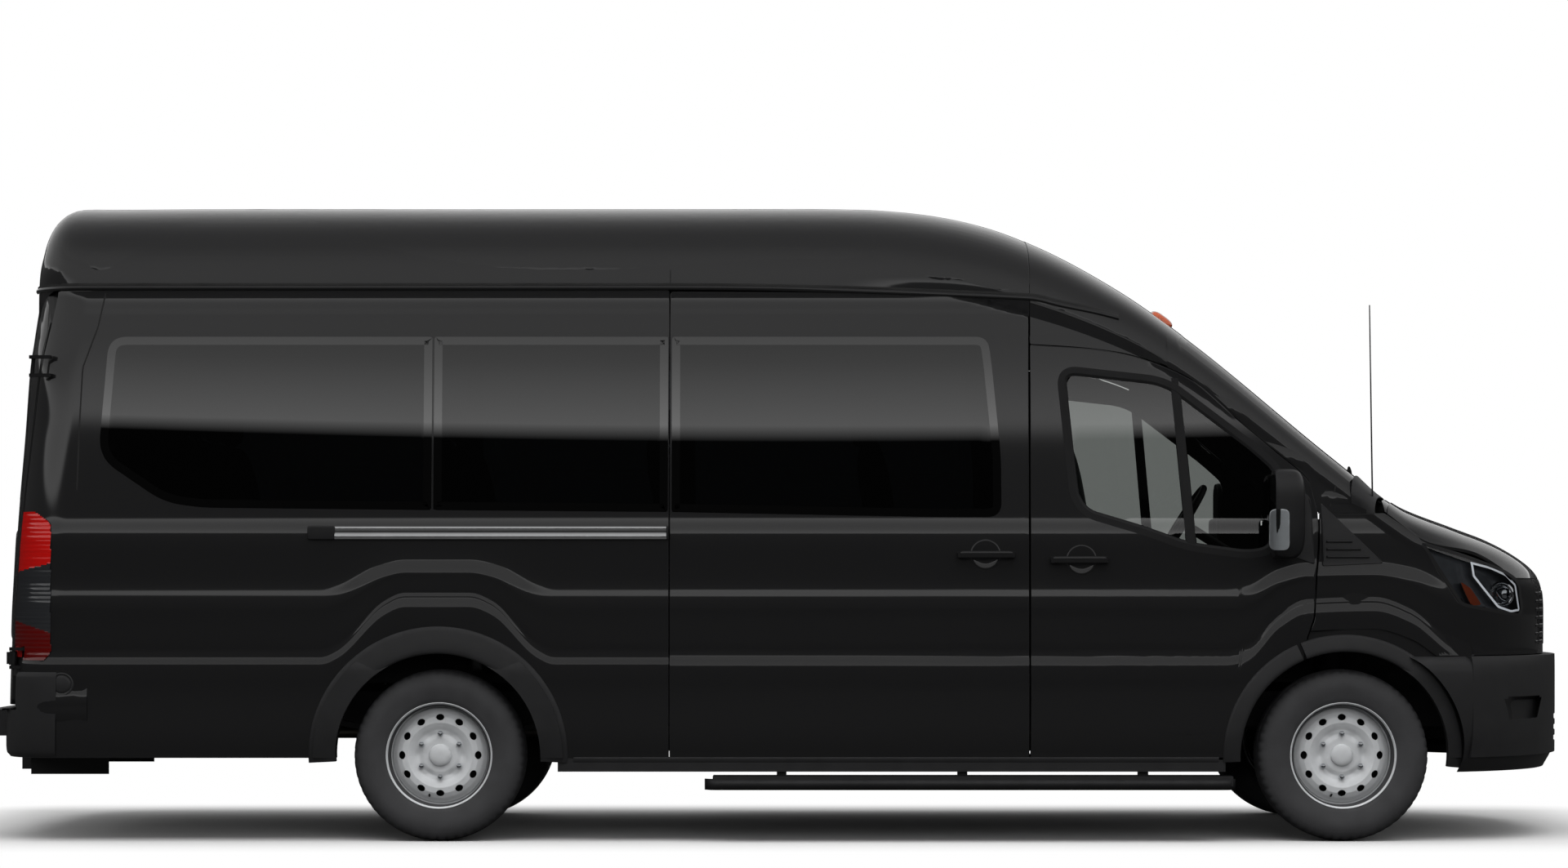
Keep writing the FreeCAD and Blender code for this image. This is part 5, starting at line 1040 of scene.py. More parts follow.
def bumper_skin():
    """The front bumper: turn about the front axle by height, standing out by a rounded profile, with an opening
    for each fog lamp's bezel and a lower air opening behind three bars."""
    z = spread(287, 766, 8.0)[None]
    arch = FRONT_AXLE + np.sqrt(BUMPER_ARCH ** 2 - (z - AXLE_HEIGHT) ** 2)
    turn = around(arch, z, 20.0) * np.linspace(-1, 1, 190)[:, None]
    base = nose(turn, z + 0 * turn, BUMPER_OUT(z))
    mx, mz = middle_of(base[..., 0], base[..., 2])
    keep = ~((far_out(base) < AIR_HALF) & (mz > AIR_LOW) & (mz < AIR_HIGH))
    keep &= ~inside(mx, mz, grown(FOG_OUTLINE, -5))
    patches = [sheet(base, keep=keep)]
    for rim, side in ((base[0], 1), (base[-1], -1)):
        patches.append(patch(np.stack([rim, rim - side * np.array([0, 14.0, 0])]), 0, away=(2900, 0, 500)))
    patches.append(patch(np.stack([base[:, -1], nose(turn[:, -1], 768.0, -6)]), 0, away=(2800, 0, 500)))
    patches.append(sheet(nose(np.linspace(-34, 34, 60)[:, None], spread(372, 528, 12.0)[None], 5.0), 1))
    for level in (412, 450, 488):
        patches.append(nose_bar(level, 29, 50, [(10, -5), (36, -6), (40, 0), (36, 6), (10, 5)], 0))
    return build("bumper_skin", patches, ["grained", "rubber"])


FOG_OUTLINE = rounded(points_at(FOG_PIXELS, -760), 16, 8)


def fog_lamp(side, name):
    """A fog lamp: a sunk satin bezel with a clear lens over a silver-lacquered bowl."""
    inner = even(even(rounded(points_at(FOG_LENS_PIXELS, -760), 20, 6), 6), count=len(FOG_OUTLINE))

    def on_nose(loop, proud):
        return nose(-side * around(loop[..., 0], loop[..., 1], proud), loop[..., 1], proud)

    t = np.linspace(0, 1, 6)[:, None, None]
    path = FOG_OUTLINE[None] * (1 - t) + inner[None] * t
    depth = (45 * (1 - t) + 4 * t)[..., 0]
    bezel = on_nose(path, depth)
    centre = inner.mean(0)
    t = np.linspace(1, 0.001, 6)[:, None, None]
    lens = on_nose(centre + (inner[None] - centre) * t, 8.0 + 0 * t[..., 0])
    bowl = on_nose(centre + (inner[None] - centre) * t, -20.0 * (1 - t[..., 0] ** 2) + 2)
    patches = [patch(grid, i, ROUND, away=(2500, 0, centre[1])) for i, grid in enumerate((bezel, lens, bowl))]
    return build(f"{name}_fog_lamp", patches, ["satin", "lens", "silver"])


def arch_moulding(side, name, centre_x, inner, outer, low, high, body="body", replaces=()):
    """A wheel-arch moulding: angle round the wheel by a section that rises from the skin and rolls inwards."""
    angle = np.radians(np.linspace(low, high, 96))[:, None]
    part = np.array([0, 0.03, 0.09, 0.2, 0.4, 0.6, 0.8, 0.93, 1.0, 1.0, 1.0, 1.0])[None]
    proud = np.array([0.3, 6, 9, 11, 14, 17, 19, 19.2, 17, 8, -10, -30])[None]
    radius = outer + (inner - outer) * part
    x, z = centre_x + radius * np.cos(angle), AXLE_HEIGHT + radius * np.sin(angle)
    grid = skin(side, x, z, proud + 0 * angle)
    ends = [patch(np.stack([grid[i], skin(side, x[i], z[i], np.minimum(proud[0], -6.0))])) for i in (0, -1)]
    patches = [patch(grid, away=(centre_x, 0, AXLE_HEIGHT)), *ends]
    return build(name, patches, ["grained"], body, replaces)


# The running boards' ends and height, where they start inside the skin, and the rubber pads along them.
BOARD_REAR, BOARD_FRONT, BOARD_HEIGHT, BOARD_INSIDE = -320, 1880, 252, 60
PADS = ((-250, 640), (760, 1260))
# The sill's section as (height, proud), and the running board's as (reach, rise).
SILL = [(352, 0.5), (350, 4), (346, 6), (330, 4), (305, 0), (293, -4), (291, -12), (293, -40)]
BOARD = [(0, 6), (40, 8), (105, 8), (122, 4), (128, -6), (124, -22), (108, -34), (60, -38), (0, -38)]


def board_start(x):
    """How far out a running board starts, 60 mm inside the skin at its height."""
    return across(x, 300.0) - BOARD_INSIDE


def sills_and_steps():
    """Sill skirts: a section of (height, proud) points along the van. Running boards: a closed section carried
    along, drawn in by a quarter circle at each end. Their pads: ribs 2.6 mm high by |sin|."""
    things = []
    for name, side in SIDES:
        x = spread(REAR_AXLE + 560, FRONT_AXLE - 520, 24.0)[:, None]
        sill = sheet(skin(side, x, *np.array(SILL).T))
        things.append(build(f"{name}_sill_skirt", [sill], ["grained"]))
        reach, rise = np.array(BOARD, float).T
        x = spread(BOARD_REAR, BOARD_FRONT, 26.0)[:, None]
        taper = np.clip((x - BOARD_REAR) / 60, 0, 1) * np.clip((BOARD_FRONT - x) / 60, 0, 1)
        y = side * (board_start(x) + reach * (0.3 + 0.7 * np.sqrt(1 - (1 - taper) ** 2)))
        board = np.stack([x + 0 * y, y, BOARD_HEIGHT + rise + 0 * y], -1)
        parts = [patch(board, 0, ROUND, away=(780, side * 1000, 240))]
        reach, drop = np.array([(22, -4), (24, 0), (44, 0), (66, 0), (84, 0), (86, -4)], float).T
        for low, high in PADS:
            x = spread(low, high, 5.0)[:, None]
            lift = BOARD_HEIGHT + 7.0 + 2.6 * np.abs(np.sin((x - low) * np.pi / 20))
            pad = np.stack([x + 0 * reach, side * (board_start(x) + reach), lift + drop], -1)
            parts.append(patch(pad, 1, away=(500, side * 1000, 100)))
        things.append(build(f"{name}_running_board_skin", parts, ["grained", "rubber"]))
    return things


# The rear bumper's step: its height and half its width.
STEP_HEIGHT, STEP_HALF = 545.0, 949


def rear_bumper_skin():
    """The rear bumper: a sweep round the tail by height, with horns up each corner, a rounded lower edge, a
    ribbed step and a sensor either side of the middle."""
    sweep = np.linspace(-np.pi / 2, np.pi / 2, 161)[:, None]
    z = np.concatenate([spread(352, 530, 10.0), [538, 543, 545.5], spread(560, 703, 12.0)])[None]
    rise = np.interp(z, [352, 356, 366, 390, 690, 700, 703], [2, 9, 14, 16, 16, 13, 8])
    y = (HALF_WIDTH - SIDE_IN(z) + rise * 0.5) * signed(np.sin(sweep), 2 / TAIL_POWER)
    x = tail_start(z) - (TAIL_DEPTH + rise) * np.abs(np.cos(sweep))
    grid = np.stack([x, y, z + 0 * x], -1)
    my, mz = middle_of(grid[..., 1], grid[..., 2])
    parts = [sheet(grid, keep=(mz < STEP_HEIGHT) | (np.abs(my) > STEP_HALF))]
    for i in (0, -1):
        run = np.linspace(grid[i, :, 0], np.full(grid.shape[1], -3084.0), 6)
        parts.append(sheet(skin(np.sign(grid[i, 0, 1]), run, z, rise * 0.5)))
    ridges = spread(-900, 900, 6.0)[:, None]
    depth = np.array([-6.0, -2, 0, 60, 120, 124])[None]
    back = REAR_END + TAIL_IN(STEP_HEIGHT) + 14
    tread = STEP_HEIGHT + 2.5 + 2.4 * np.abs(np.sin(ridges * np.pi / 24)) + np.array([-8.0, -2, 0, 0, 0, -4])
    step = np.stack([back + depth + 0 * ridges, ridges + 0 * depth, tread], -1)
    parts.append(patch(step, 1, away=(0, 0, 300)))
    for y0 in (-620, -250, 250, 620):
        x0 = float(tail(1, abs(y0), 480.0, 16.0)[0])
        parts.append(turned([(-2, 13), (1.5, 13), (3, 11), (3.4, 0.01)], (x0, y0, 480), "x", 28, 1, -1))
    return build("rear_bumper_skin", parts, ["grained", "rubber"])


# Rear end. A rear door's outline and its window's, as (out, height).
REAR_DOOR = rounded([(7, 566), (877, 566), (877, 2168), (782, 2457), (698, 2496), (7, 2496)], 38, 12)
REAR_WINDOW = rounded([(90, 1420), (785, 1420), (785, 1900), (740, 2080), (90, 2080)], 60, 12)


def tail_ring(outer, inner, side, proud, material):
    """A band on the tail between two rear-view outlines, with a row for each of the heights proud."""
    t = np.linspace(0, 1, len(proud))[:, None]
    out, z = (outer[None, :, i] * (1 - t) + inner[None, :, i] * t for i in (0, 1))
    grid = tail(side, out, z, np.array(proud, float)[:, None])
    return patch(grid, material, ROUND, None, (-2000, side * outer[:, 0].mean(), outer[:, 1].mean()))


def rear_doors_skin():
    """Each rear door: its outline filled on the tail round the window, the edges turned in, a flush dark pane
    with its black edge, and on the right door the grip and lock."""
    things = []
    pressed = rounded([(150, 830), (790, 830), (790, 1300), (150, 1300)], 90, 12)
    for name, side in SIDES:
        body = f"{name}_rear_door"
        out, z = filled(REAR_DOOR, 15.0)
        keep = ~inside(*middle_of(out, z), grown(REAR_WINDOW, -16))
        parts = [sheet(tail(side, out, z, PROUD), keep=keep),
                 tail_ring(grown(REAR_DOOR, 2.5), REAR_DOOR, side, (-14, -1.5, PROUD), 0),
                 tail_ring(pressed, grown(pressed, -22), side, (PROUD, PROUD + 5, PROUD + 2), 0)]
        if side < 0:
            parts.append(block((-3262, -150, 1010), (-3222, -50, 1150), 1, 0.3))
            grip = [(-3242, -64, 1030), (-3270, -64, 1040), (-3272, -64, 1120), (-3242, -64, 1132)]
            parts.append(tube(grip, [9, 10, 10, 9], 2, 16, 1.0, 0.8))
        things.append(build(f"{name}_rear_door_skin", parts, ["paint", "rubber", "satin"], body))
        glass = tail(side, *filled(grown(REAR_WINDOW, -24), 16.0), PROUD + 0.2)
        panes = [patch(glass, away=(-2000, side * 400, 1700)),
                 tail_ring(REAR_WINDOW, grown(REAR_WINDOW, -30), side, (PROUD + 0.6,) * 3, 1),
                 tail_ring(grown(REAR_WINDOW, 3), REAR_WINDOW, side, (-4, -1, PROUD + 0.6), 2)]
        things.append(build(f"{name}_rear_door_glass", panes, ["privacy", "frit", "rubber"], body,
                            (f"{name}_rear_window",)))
    return things


def tail_lamp_lens(side, name):
    """A tail lamp wrapped round the corner: bright red above, a smoked middle with slanted ends and dark red
    below, ribbed, with a gap left round the lower hinge."""
    levels = spread(746, 1368, 6.0)
    wrap = tail_corner(side, levels, 892.5, 44, 4.0)
    lead = np.linspace(np.full(len(levels), -3018.0), wrap[0, :, 0], 10)
    grid = np.vstack([skin(side, lead, levels[None], 4.0)[:-1], wrap])
    grid[..., 1] += side * 0.5 * np.cos(grid[..., 2] * np.pi / 9)
    mx, mz = middle_of(grid[..., 0], grid[..., 2])
    my = np.abs(middle_of(grid[..., 1], grid[..., 2])[0])
    shown = inside(mx, mz, LAMP_SIDE) & ~((my < 961) & (mz < 812))
    smoked = (mz < 1148 + 0.22 * (mx + 3050)) & (mz > 874 - 0.30 * (mx + 3050))
    rim = np.stack([skin(side, *grown(LAMP_SIDE, out).T, down) for out, down in ((0, 4), (1.5, 2), (2, -12))])
    near = middle_of(rim[..., 0], rim[..., 2])[0] > -3070
    near = near | np.roll(near, 1, 1)
    parts = [sheet(grid, 0, shown & (mz > 1000) & ~smoked), sheet(grid, 1, shown & smoked),
             sheet(grid, 2, shown & (mz <= 1000) & ~smoked), patch(rim, 3, keep=near, away=(-3200, 0, 1000))]
    return build(f"{name}_tail_lamp_lens", parts, ["red", "smoke", "dark_red", "rubber"])


# Wheels
# A tyre's side from the bead to the shoulder, and its tread with four grooves, as (out, radius).
TYRE_SIDE = [(-96, 214), (-104, 222), (-108, 240), (-114, 262), (-117, 285), (-117, 300), (-114, 318),
             (-108, 334), (-99, 345), (-88, 351), (-74, 354)]
TYRE_TREAD = [(-58, 355), (-55, 355), (-55, 347), (-47, 347), (-47, 355), (-20, 356), (-17, 356), (-17, 348),
              (-9, 348), (-9, 356), (9, 356), (9, 348), (17, 348), (17, 356), (20, 356), (47, 355), (47, 347),
              (55, 347), (55, 355), (58, 355)]
# The wheel's disc: how far out it stands by radius, and the radius and half sizes of its oval vents.
DISH = ([30, 70, 88, 105, 120, 135, 158, 178, 192, 196], [52, 52, 47, 49, 56, 62, 60, 50, 40, 38])
VENT_RADIUS, VENT_LONG, VENT_TALL = 158, 17.5, 13.5


def tyre(body, side, centre):
    """A tyre: its profile turned about the axle, with notches 5 mm deep across its shoulders."""
    profile = TYRE_SIDE + TYRE_TREAD + [(-a, r) for a, r in TYRE_SIDE[::-1]] + [(90, 206), (-90, 206)]
    steps = 220
    angle = np.radians(np.linspace(0, 360, steps, endpoint=False))[:, None]
    out, radius = np.array(profile, float).T
    notch = ((np.arange(steps) % 4) == 0)[:, None] & (radius > 344)[None] & (np.abs(out) > 60)[None]
    radius = radius[None] - 5.0 * notch
    grid = np.stack([centre[0] + radius * np.cos(angle), centre[1] + out[None] * side + 0 * angle,
                     centre[2] + radius * np.sin(angle)], -1)
    thing = build(f"{body}_tyre_rubber", [patch(grid, 0, (True, True))], ["tyre"], body,
                  (body.replace("_wheel", "_tyre"),))
    recalculated(thing)
    return thing


def rim(body, side, centre):
    """A pressed wheel: its disc is radius by angle, with twelve oval vents and with six pockets 5 mm deep by
    exp(-((r - 90) / 17)^2); then the turned lip, hub cap, nuts, valve and drum."""
    r = np.concatenate([np.linspace(30, 120, 26), np.linspace(122, 196, 34)])[:, None]
    steps = 432
    a = np.radians(np.linspace(0, 360, steps, endpoint=False))[None]
    pocket = 5 * np.exp(-((r - 90) / 17) ** 2) * (0.5 + 0.5 * np.cos(6 * a)) ** 2
    stand = centre[1] + side * (np.interp(r, *DISH) - pocket)
    disc = np.stack([centre[0] + r * np.cos(a), stand, centre[2] + r * np.sin(a)], -1)
    mr, ma = (r[:-1] + r[1:]) / 2, a + np.radians(180 / steps)
    nearest = np.radians((np.degrees(ma) + 15) % 30 - 15) * VENT_RADIUS
    vent = (nearest / VENT_LONG) ** 2 + ((mr - VENT_RADIUS) / VENT_TALL) ** 2 < 1
    face = patch(disc, 0, ROUND, keep=~vent, away=(centre[0], 0, centre[2]))
    lip = [(38, 196), (30, 199), (26, 203), (34, 207), (60, 208), (86, 210), (96, 213), (103, 217), (106, 219),
           (104, 221), (98, 221), (92, 214), (60, 212), (20, 208), (-60, 206), (-100, 212), (-104, 219)]
    parts = [face, turned(lip, centre, "y", 144, 0, side)]
    oval = np.linspace(0, 2 * np.pi, 24, endpoint=False)
    for t in np.radians(np.arange(12) * 30):
        rows = []
        for depth, scale in ((0, 1.06), (-2, 1.0), (-12, 0.99)):
            along = VENT_LONG * scale * np.cos(oval)
            out = VENT_RADIUS + VENT_TALL * scale * np.sin(oval)
            x = centre[0] + out * np.cos(t) - along * np.sin(t)
            z = centre[2] + out * np.sin(t) + along * np.cos(t)
            rows.append(np.stack([x, centre[1] + side * (np.interp(out, *DISH) + depth), z], -1))
        parts.append(patch(np.stack(rows), 0, ROUND))
    cap = [(50, 46), (58, 46), (62, 44), (66, 38), (69, 26), (70, 12), (70.3, 0.01)]
    parts.append(turned(cap, centre, "y", 60, 0, side))
    nut = [(40, 15), (44, 15), (46, 13), (48, 11.5), (62, 11.5), (65, 9), (66, 0.01)]
    for t in np.radians(np.arange(6) * 60 + 30):
        at = (centre[0] + 90 * np.cos(t), centre[1], centre[2] + 90 * np.sin(t))
        parts.append(turned(nut, at, "y", 6, 1, side))
    t = math.radians(255)
    valve = [(centre[0] + r * math.cos(t), centre[1] + side * out, centre[2] + r * math.sin(t))
             for r, out in ((176, 46), (172, 58), (168, 70))]
    parts.append(tube(valve, [5, 4, 3.5], 3, 12))
    parts.append(turned([(-60, 196), (2, 190), (6, 150), (8, 60), (8, 0.01)], centre, "y", 60, 4, side))
    return build(f"{body}_rim_skin", parts, ["silver", "chrome", "casting", "rubber", "drum"], body,
                 (body.replace("_wheel", "_rim"),))


def recalculated(thing):
    """Turns a closed mesh's faces outwards."""
    work = bmesh.new()
    work.from_mesh(thing.data)
    bmesh.ops.recalc_face_normals(work, faces=work.faces)
    work.to_mesh(thing.data)
    work.free()


def wheels():
    """The four wheels, each about its own centre."""
    things = []
    for end, centre_x in (("front", FRONT_AXLE), ("rear", REAR_AXLE)):
        for name, side in SIDES:
            place = f"{end}_{name}_wheel", side, (centre_x, side * TRACK_HALF, AXLE_HEIGHT)
            things += [tyre(*place), rim(*place)]
    return things


# Small pieces
def side_disc(side, middle, profile, steps):
    """A round pressing on a side: a profile of (radius, proud) points turned about a place in side view."""
    angle = np.linspace(0, 2 * np.pi, steps, endpoint=False)
    radius, proud = np.array(profile, float).T[..., None]
    grid = skin(side, middle[0] + radius * np.cos(angle), middle[1] + radius * np.sin(angle), PROUD + proud)
    return patch(grid, 0, ROUND, away=BODY_MIDDLE)


def handle(side, body, name, x0, x1, z, recess_x):
    """A door handle: a dished round recess in the sheet, a flattened bar off the door and its two feet."""
    t = np.linspace(0, 1, 40)
    x = x0 + (x1 - x0) * t
    lift = 30 - 5 * np.abs(2 * t - 1) ** 8
    path = np.stack([x, side * (across(x, z) + lift), z + 0 * t], -1)
    parts = [tube(path, 14.5 - 3 * np.abs(2 * t - 1) ** 10, 0, 28, 0.62, 0.55)]
    for at in (x0 + 16, x1 - 16):
        y = side * float(across(at, z))
        parts.append(block((at - 17, min(y, y + side * 30), z - 13), (at + 17, max(y, y + side * 30), z + 13)))
    recess = [(63, 0.2), (61, 2.2), (58, 3.2), (54, 2.6), (46, 1.2), (30, 0.7), (0.05, 0.6)]
    parts.append(side_disc(side, (recess_x, z), recess, 64))
    return build(name, parts, ["paint"], body)


RAIL_HEIGHT = 1280.0


def door_rail():
    """The sliding door's rail: two bright lips along a dark channel, a black cap behind and a stop in front."""
    x = spread(-1849, -476, 30.0)[:, None]
    rise, proud = np.array([(27, 0), (27, 11), (24, 13), (12, 13), (9, 10), (8, 2), (2, 2), (1, 10), (-2, 13),
                            (-24, 13), (-27, 11), (-27, 0)]).T
    grid = skin(-1, x, RAIL_HEIGHT + rise, PROUD + proud)
    dark = np.zeros((grid.shape[0] - 1, grid.shape[1] - 1), bool)
    dark[:, 4:7] = True
    away = (-1160, -900, RAIL_HEIGHT)
    parts = [patch(grid, 0, keep=~dark, away=away), patch(grid, 1, keep=dark, away=away)]
    y = -float(across(-1900.0, RAIL_HEIGHT))
    for x0, x1, tall in ((-1962, -1846, 29), (-478, -468, 28)):
        parts.append(block((x0, y - 16, RAIL_HEIGHT - tall), (x1, y + 6, RAIL_HEIGHT + tall), 2, 0.22))
    return build("sliding_door_rail", parts, ["rail", "rubber", "satin"])


GUTTER_LINE = smooth([(-3150, 2293), (-472, 2293), (1030, 2250), (1158, 2222), (1335, 2186), (1500, 2140),
                      (1640, 2084)])


def drip_channel(side, name):
    """The drip channel: a dark groove and a lip under the roof, from the rear corner to over the front door."""
    x = spread(-3140, 1400, 24.0)[:, None]
    rise, proud = np.array([(16, 0.4), (14, 6), (8, 9), (3, 9.5), (0, 8), (-3, 3), (-4, -2)]).T
    lip = skin(side, x, GUTTER_LINE(x) + rise, PROUD + proud * 0.7)
    groove = skin(side, x, GUTTER_LINE(x) + np.array([16, 19, 26]), PROUD + np.array([0.5, 0.6, 0.3]))
    return build(f"{name}_drip_channel", [sheet(lip), sheet(groove, 1)], ["paint", "sealer"])


def mirror(side, name):
    """A door mirror: a superquadric head cut flat behind, with its glass there, a clear lamp lens on its outer
    side and an arm to the door's corner."""
    centre = np.array([2066.0, side * 1112.0, 1356.0])
    size = np.array([82.0, 98.0, 184.0])
    head = centre + np.stack(superquadric(30, 48, 0.5, 0.7, 0.6, 0.5), -1) * size
    head[..., 0] = np.maximum(head[..., 0], centre[0] - 46)
    glass_u = np.linspace(1, 0.001, 8)[:, None]
    loop = rounded([(-86, -160), (86, -160), (86, 160), (-86, 160)], 44, 10)
    face = np.stack([np.full((8, len(loop)), centre[0] - 47.5), centre[1] + glass_u * loop[None, :, 0],
                     centre[2] + glass_u * loop[None, :, 1]], -1)
    arm = tube([(2150, side * 975, 1300), (2135, side * 1005, 1310), (2112, side * 1040, 1322),
                (2096, side * 1070, 1330)], [34, 32, 30, 28], 0, 24, 0.55)
    t = np.linspace(1, 0.01, 8)[:, None]
    outline = rounded([(-40, -84), (38, -84), (38, 84), (-40, 84)], 26, 8)
    px, pz = centre[0] - 30 + t * outline[None, :, 0], centre[2] - 66 + t * outline[None, :, 1]
    depth = size[1] * np.maximum(0.05, 1 - np.abs((px - centre[0]) / size[0]) ** 2.9) ** 0.42
    lens = np.stack([px, centre[1] + side * (depth + 1.5), pz], -1)
    parts = [patch(head, 0, ROUND), patch(face, 2, ROUND, away=centre), arm,
             patch(lens, 1, ROUND, away=centre), patch(lens - [0, side * 1.2, 0], 3, ROUND, away=centre)]
    return build(f"{name}_mirror_shell", parts, ["satin", "lens", "mirror", "silver"],
                 f"{name}_front_door", (f"{name}_mirror",))


def clearance_lamps():
    """Five amber clearance lamps across the cab's crown: low superquadric domes leaning with the roof."""
    ahead, aside, up = superquadric(21, 40, 0.6, 0.55, 0.55, 0.8)
    parts = []
    for y in (-500, -170, 0, 170, 500):
        x = FRONT_AXLE - 700 - 14 * (y / 500) ** 2
        fall = float(height(x - 20, y) - height(x + 20, y)) / 40
        a, b, c = 43 * ahead, 63 * aside, 19 * up
        parts.append(patch(np.stack([x + a + c * fall, y + b, height(x + a, y + b) + c], -1), 0, ROUND))
    return build("clearance_lamp_covers", parts, ["amber"], replaces=("clearance_lamps",))


def aerial_rod(tip):
    """The whip aerial: a rubber foot on the wing and a thin rod that leans back."""
    path = np.linspace((2453, -945, 1362), (2440, -945, tip), 40)
    foot = turned([(0, 17), (6, 17), (14, 12), (30, 7), (46, 4), (50, 0.01)], (2453, -945, 1352), "z", 32, 1)
    return build("aerial_rod", [tube(path, np.linspace(3.6, 2.6, 40), 0, 10), foot], ["satin", "rubber"],
                 replaces=("aerial",))


def wipers():
    """Two wipers at rest: each blade lies along the foot of the windscreen under its arm, which swings from a
    round cap on the cowl."""
    parts = []
    for y0, y1 in ((-620, 20), (120, 760)):
        y = np.linspace(y0, y1, 40)
        x = cowl_edge(y, 149)
        parts.append(tube(np.stack([x, y, height(x, y) + 9], -1), 10, 1, 12, 0.8, 0.8))
        parts.append(tube(np.stack([x, y, height(x, y) + 19], -1), 5.5, 0, 10))
        pivot = y1 - 90
        start = (2412.0, pivot, float(height(2412.0, pivot)))
        end = np.array([float(cowl_edge(pivot - 250, 149)), pivot - 250, 0.0])
        end[2] = float(height(end[0], end[1])) + 24
        t = np.linspace(0, 1, 24)[:, None]
        path = np.array([start]) * (1 - t) + end[None] * t
        path[:, 2] = np.maximum(height(path[:, 0], path[:, 1]) + 14, path[:, 2])
        parts.append(tube(path, np.linspace(11, 6, 24), 0, 14, 1.3))
        parts.append(turned([(-6, 24), (14, 24), (22, 20), (25, 10), (25.4, 0.01)], start, "z", 36, 0))
    return build("wiper_arms", parts, ["satin", "rubber"], replaces=("wipers",))


def raised(outline, inset, proud, side, step):
    """A moulded plate on a side: its face, and its edge that slopes up from the sheet."""
    inner = grown(outline, -inset)
    return [pane(grown(inner, 2), side, proud - 0.2, 0, step),
            ring(outline, inner, side, PROUD - 1, proud, 0, 4)]


def wing_corner(side, name):
    """The black moulded corner on the wing ahead of the door, with three ribs on its face."""
    triangle = rounded([(2229, 1408), (2494, 1152), (2233, 1140)], [10, 16, 8], 9)
    parts = raised(triangle, 5, PROUD + 5, side, 9)
    for z in (1180, 1212, 1244):
        x = np.linspace(2252, 2430 - (z - 1180) * 1.1, 16)
        parts.append(tube(skin(side, x, z + 0 * x, PROUD + 5.5), 5, 1, 10))
    return build(f"{name}_wing_corner", parts, ["grained", "satin"])


def door_corner(side, name):
    """The moulded foot that carries the mirror, in the front corner of the door's window."""
    outline = rounded([(2040, 1548), (2192, 1424), (2206, 1146), (2052, 1200)], [24, 20, 12, 26], 10)
    parts = raised(outline, 6, PROUD + 6, side, 10)
    return build(f"{name}_door_corner", parts, ["grained"], f"{name}_front_door")


def side_cap():
    """The round cap low on the side behind the rear wheel: a ring, a groove and a domed middle."""
    profile = [(50, -1), (48, 3), (43, 4), (40, 0.5), (38, 0.5), (36, 3.5), (28, 5), (0.05, 5.5)]
    cap = side_disc(-1, picture_points(SIDE_CAP_PIXEL, SIDE_SCALE)[0], profile, 56)
    return build("round_side_cap", [cap], ["grained"])


def seam_strips():
    """The dark lines of panel joints that have no gap in the solids, as low bands: the rear pillar's, from the
    gutter down to the lamp, and the two at the windscreen pillar's head and foot."""
    parts = []
    off, proud = np.array([(-1, 0.05), (-0.6, 0.5), (0.6, 0.5), (1, 0.05)]).T[..., None]
    for pixels, width in ((REAR_SEAM_PIXELS, 3.2), (SCREEN_HEAD_PIXELS, 2.2), (SCREEN_FOOT_PIXELS, 2.6)):
        path = points_at(pixels, -970)
        at = np.linspace(0, 1, len(path))
        x, z = (np.interp(np.linspace(0, 1, 40), at, path[:, i]) for i in (0, 1))
        dx, dz = np.gradient(x), np.gradient(z)
        reach = off * width
        long = np.hypot(dx, dz)
        for side in (-1, 1):
            parts.append(sheet(skin(side, x - reach * dz / long, z + reach * dx / long, PROUD + proud)))
    return build("joint_sealer_lines", parts, ["sealer"])


# Seats
# Each seat's place, as (ahead, left) of the middle.
SEAT_ROWS = {
    "front_seats": ((1380, -480), (1380, 480)),
    "passenger_seats": ((560, -690), (560, 230), (560, 690), (-340, -690), (-340, 230), (-340, 690),
                        (-1240, -690), (-1240, 230), (-1240, 690), (-2330, -690), (-2330, -230), (-2330, 230),
                        (-2330, 690)),
}
# A seat's base, back and headrest: start and end in side view, width and thickness.
SEAT_PADS = (((-150, 395), (328, 412), 436, 112), ((-198, 1000), (-104, 430), 430, 100),
             ((-228, 1193), (-212, 1010), 270, 84))


def cushion(start, end, y, width, thick, fullness):
    """A stuffed pad from start to end in side view: a superquadric, thickened on its crowned side by a middle
    crown and two bolsters. Its crowned side is to the left of the way it runs."""
    a, b, c = superquadric(23, 44, 0.45, 0.4, 0.4, 0.75)
    puff = 1 + fullness * (0.6 * np.cos(a * np.pi / 2) + 0.4 * np.abs(b) ** 2 - 0.3) * (c > 0)
    run = np.array(end, float) - start
    length = np.hypot(*run)
    along, up = run / length, np.array([-run[1], run[0]]) / length
    reach, rise = (a + 1) / 2 * length, c * thick / 2 * puff
    x, z = (start[i] + along[i] * reach + up[i] * rise for i in (0, 1))
    return patch(np.stack([x, y + b * width / 2, z], -1), 0, ROUND)


def seats(fullness):
    """Every seat: a crowned base, a leaning back with bolsters and a headrest on two posts, over a pan and two
    stands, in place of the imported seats."""
    things = []
    for row, places in SEAT_ROWS.items():
        pads, frames = [], []
        for x, y in places:
            for start, end, width, thick in SEAT_PADS:
                ends = ((x + ahead, FLOOR_TOP + up) for ahead, up in (start, end))
                pads.append(cushion(*ends, y, width, thick, fullness))
            for out in (-70, 70):
                post = [(x - 205, y + out, FLOOR_TOP + 960), (x - 222, y + out, FLOOR_TOP + 1080)]
                frames.append(tube(post, 6, 0, 10))
            for near in (-58, 148):
                stand = (x + near, y - 180, FLOOR_TOP + 3), (x + near + 50, y + 180, FLOOR_TOP + 320)
                frames.append(block(*stand))
            frames.append(block((x - 150, y - 200, FLOOR_TOP + 300), (x + 300, y + 200, FLOOR_TOP + 345)))
        soft = build(f"{row}_cushions", pads, ["cloth"], replaces=(row,))
        things += [soft, build(f"{row}_frames", frames, ["satin"])]
    return things


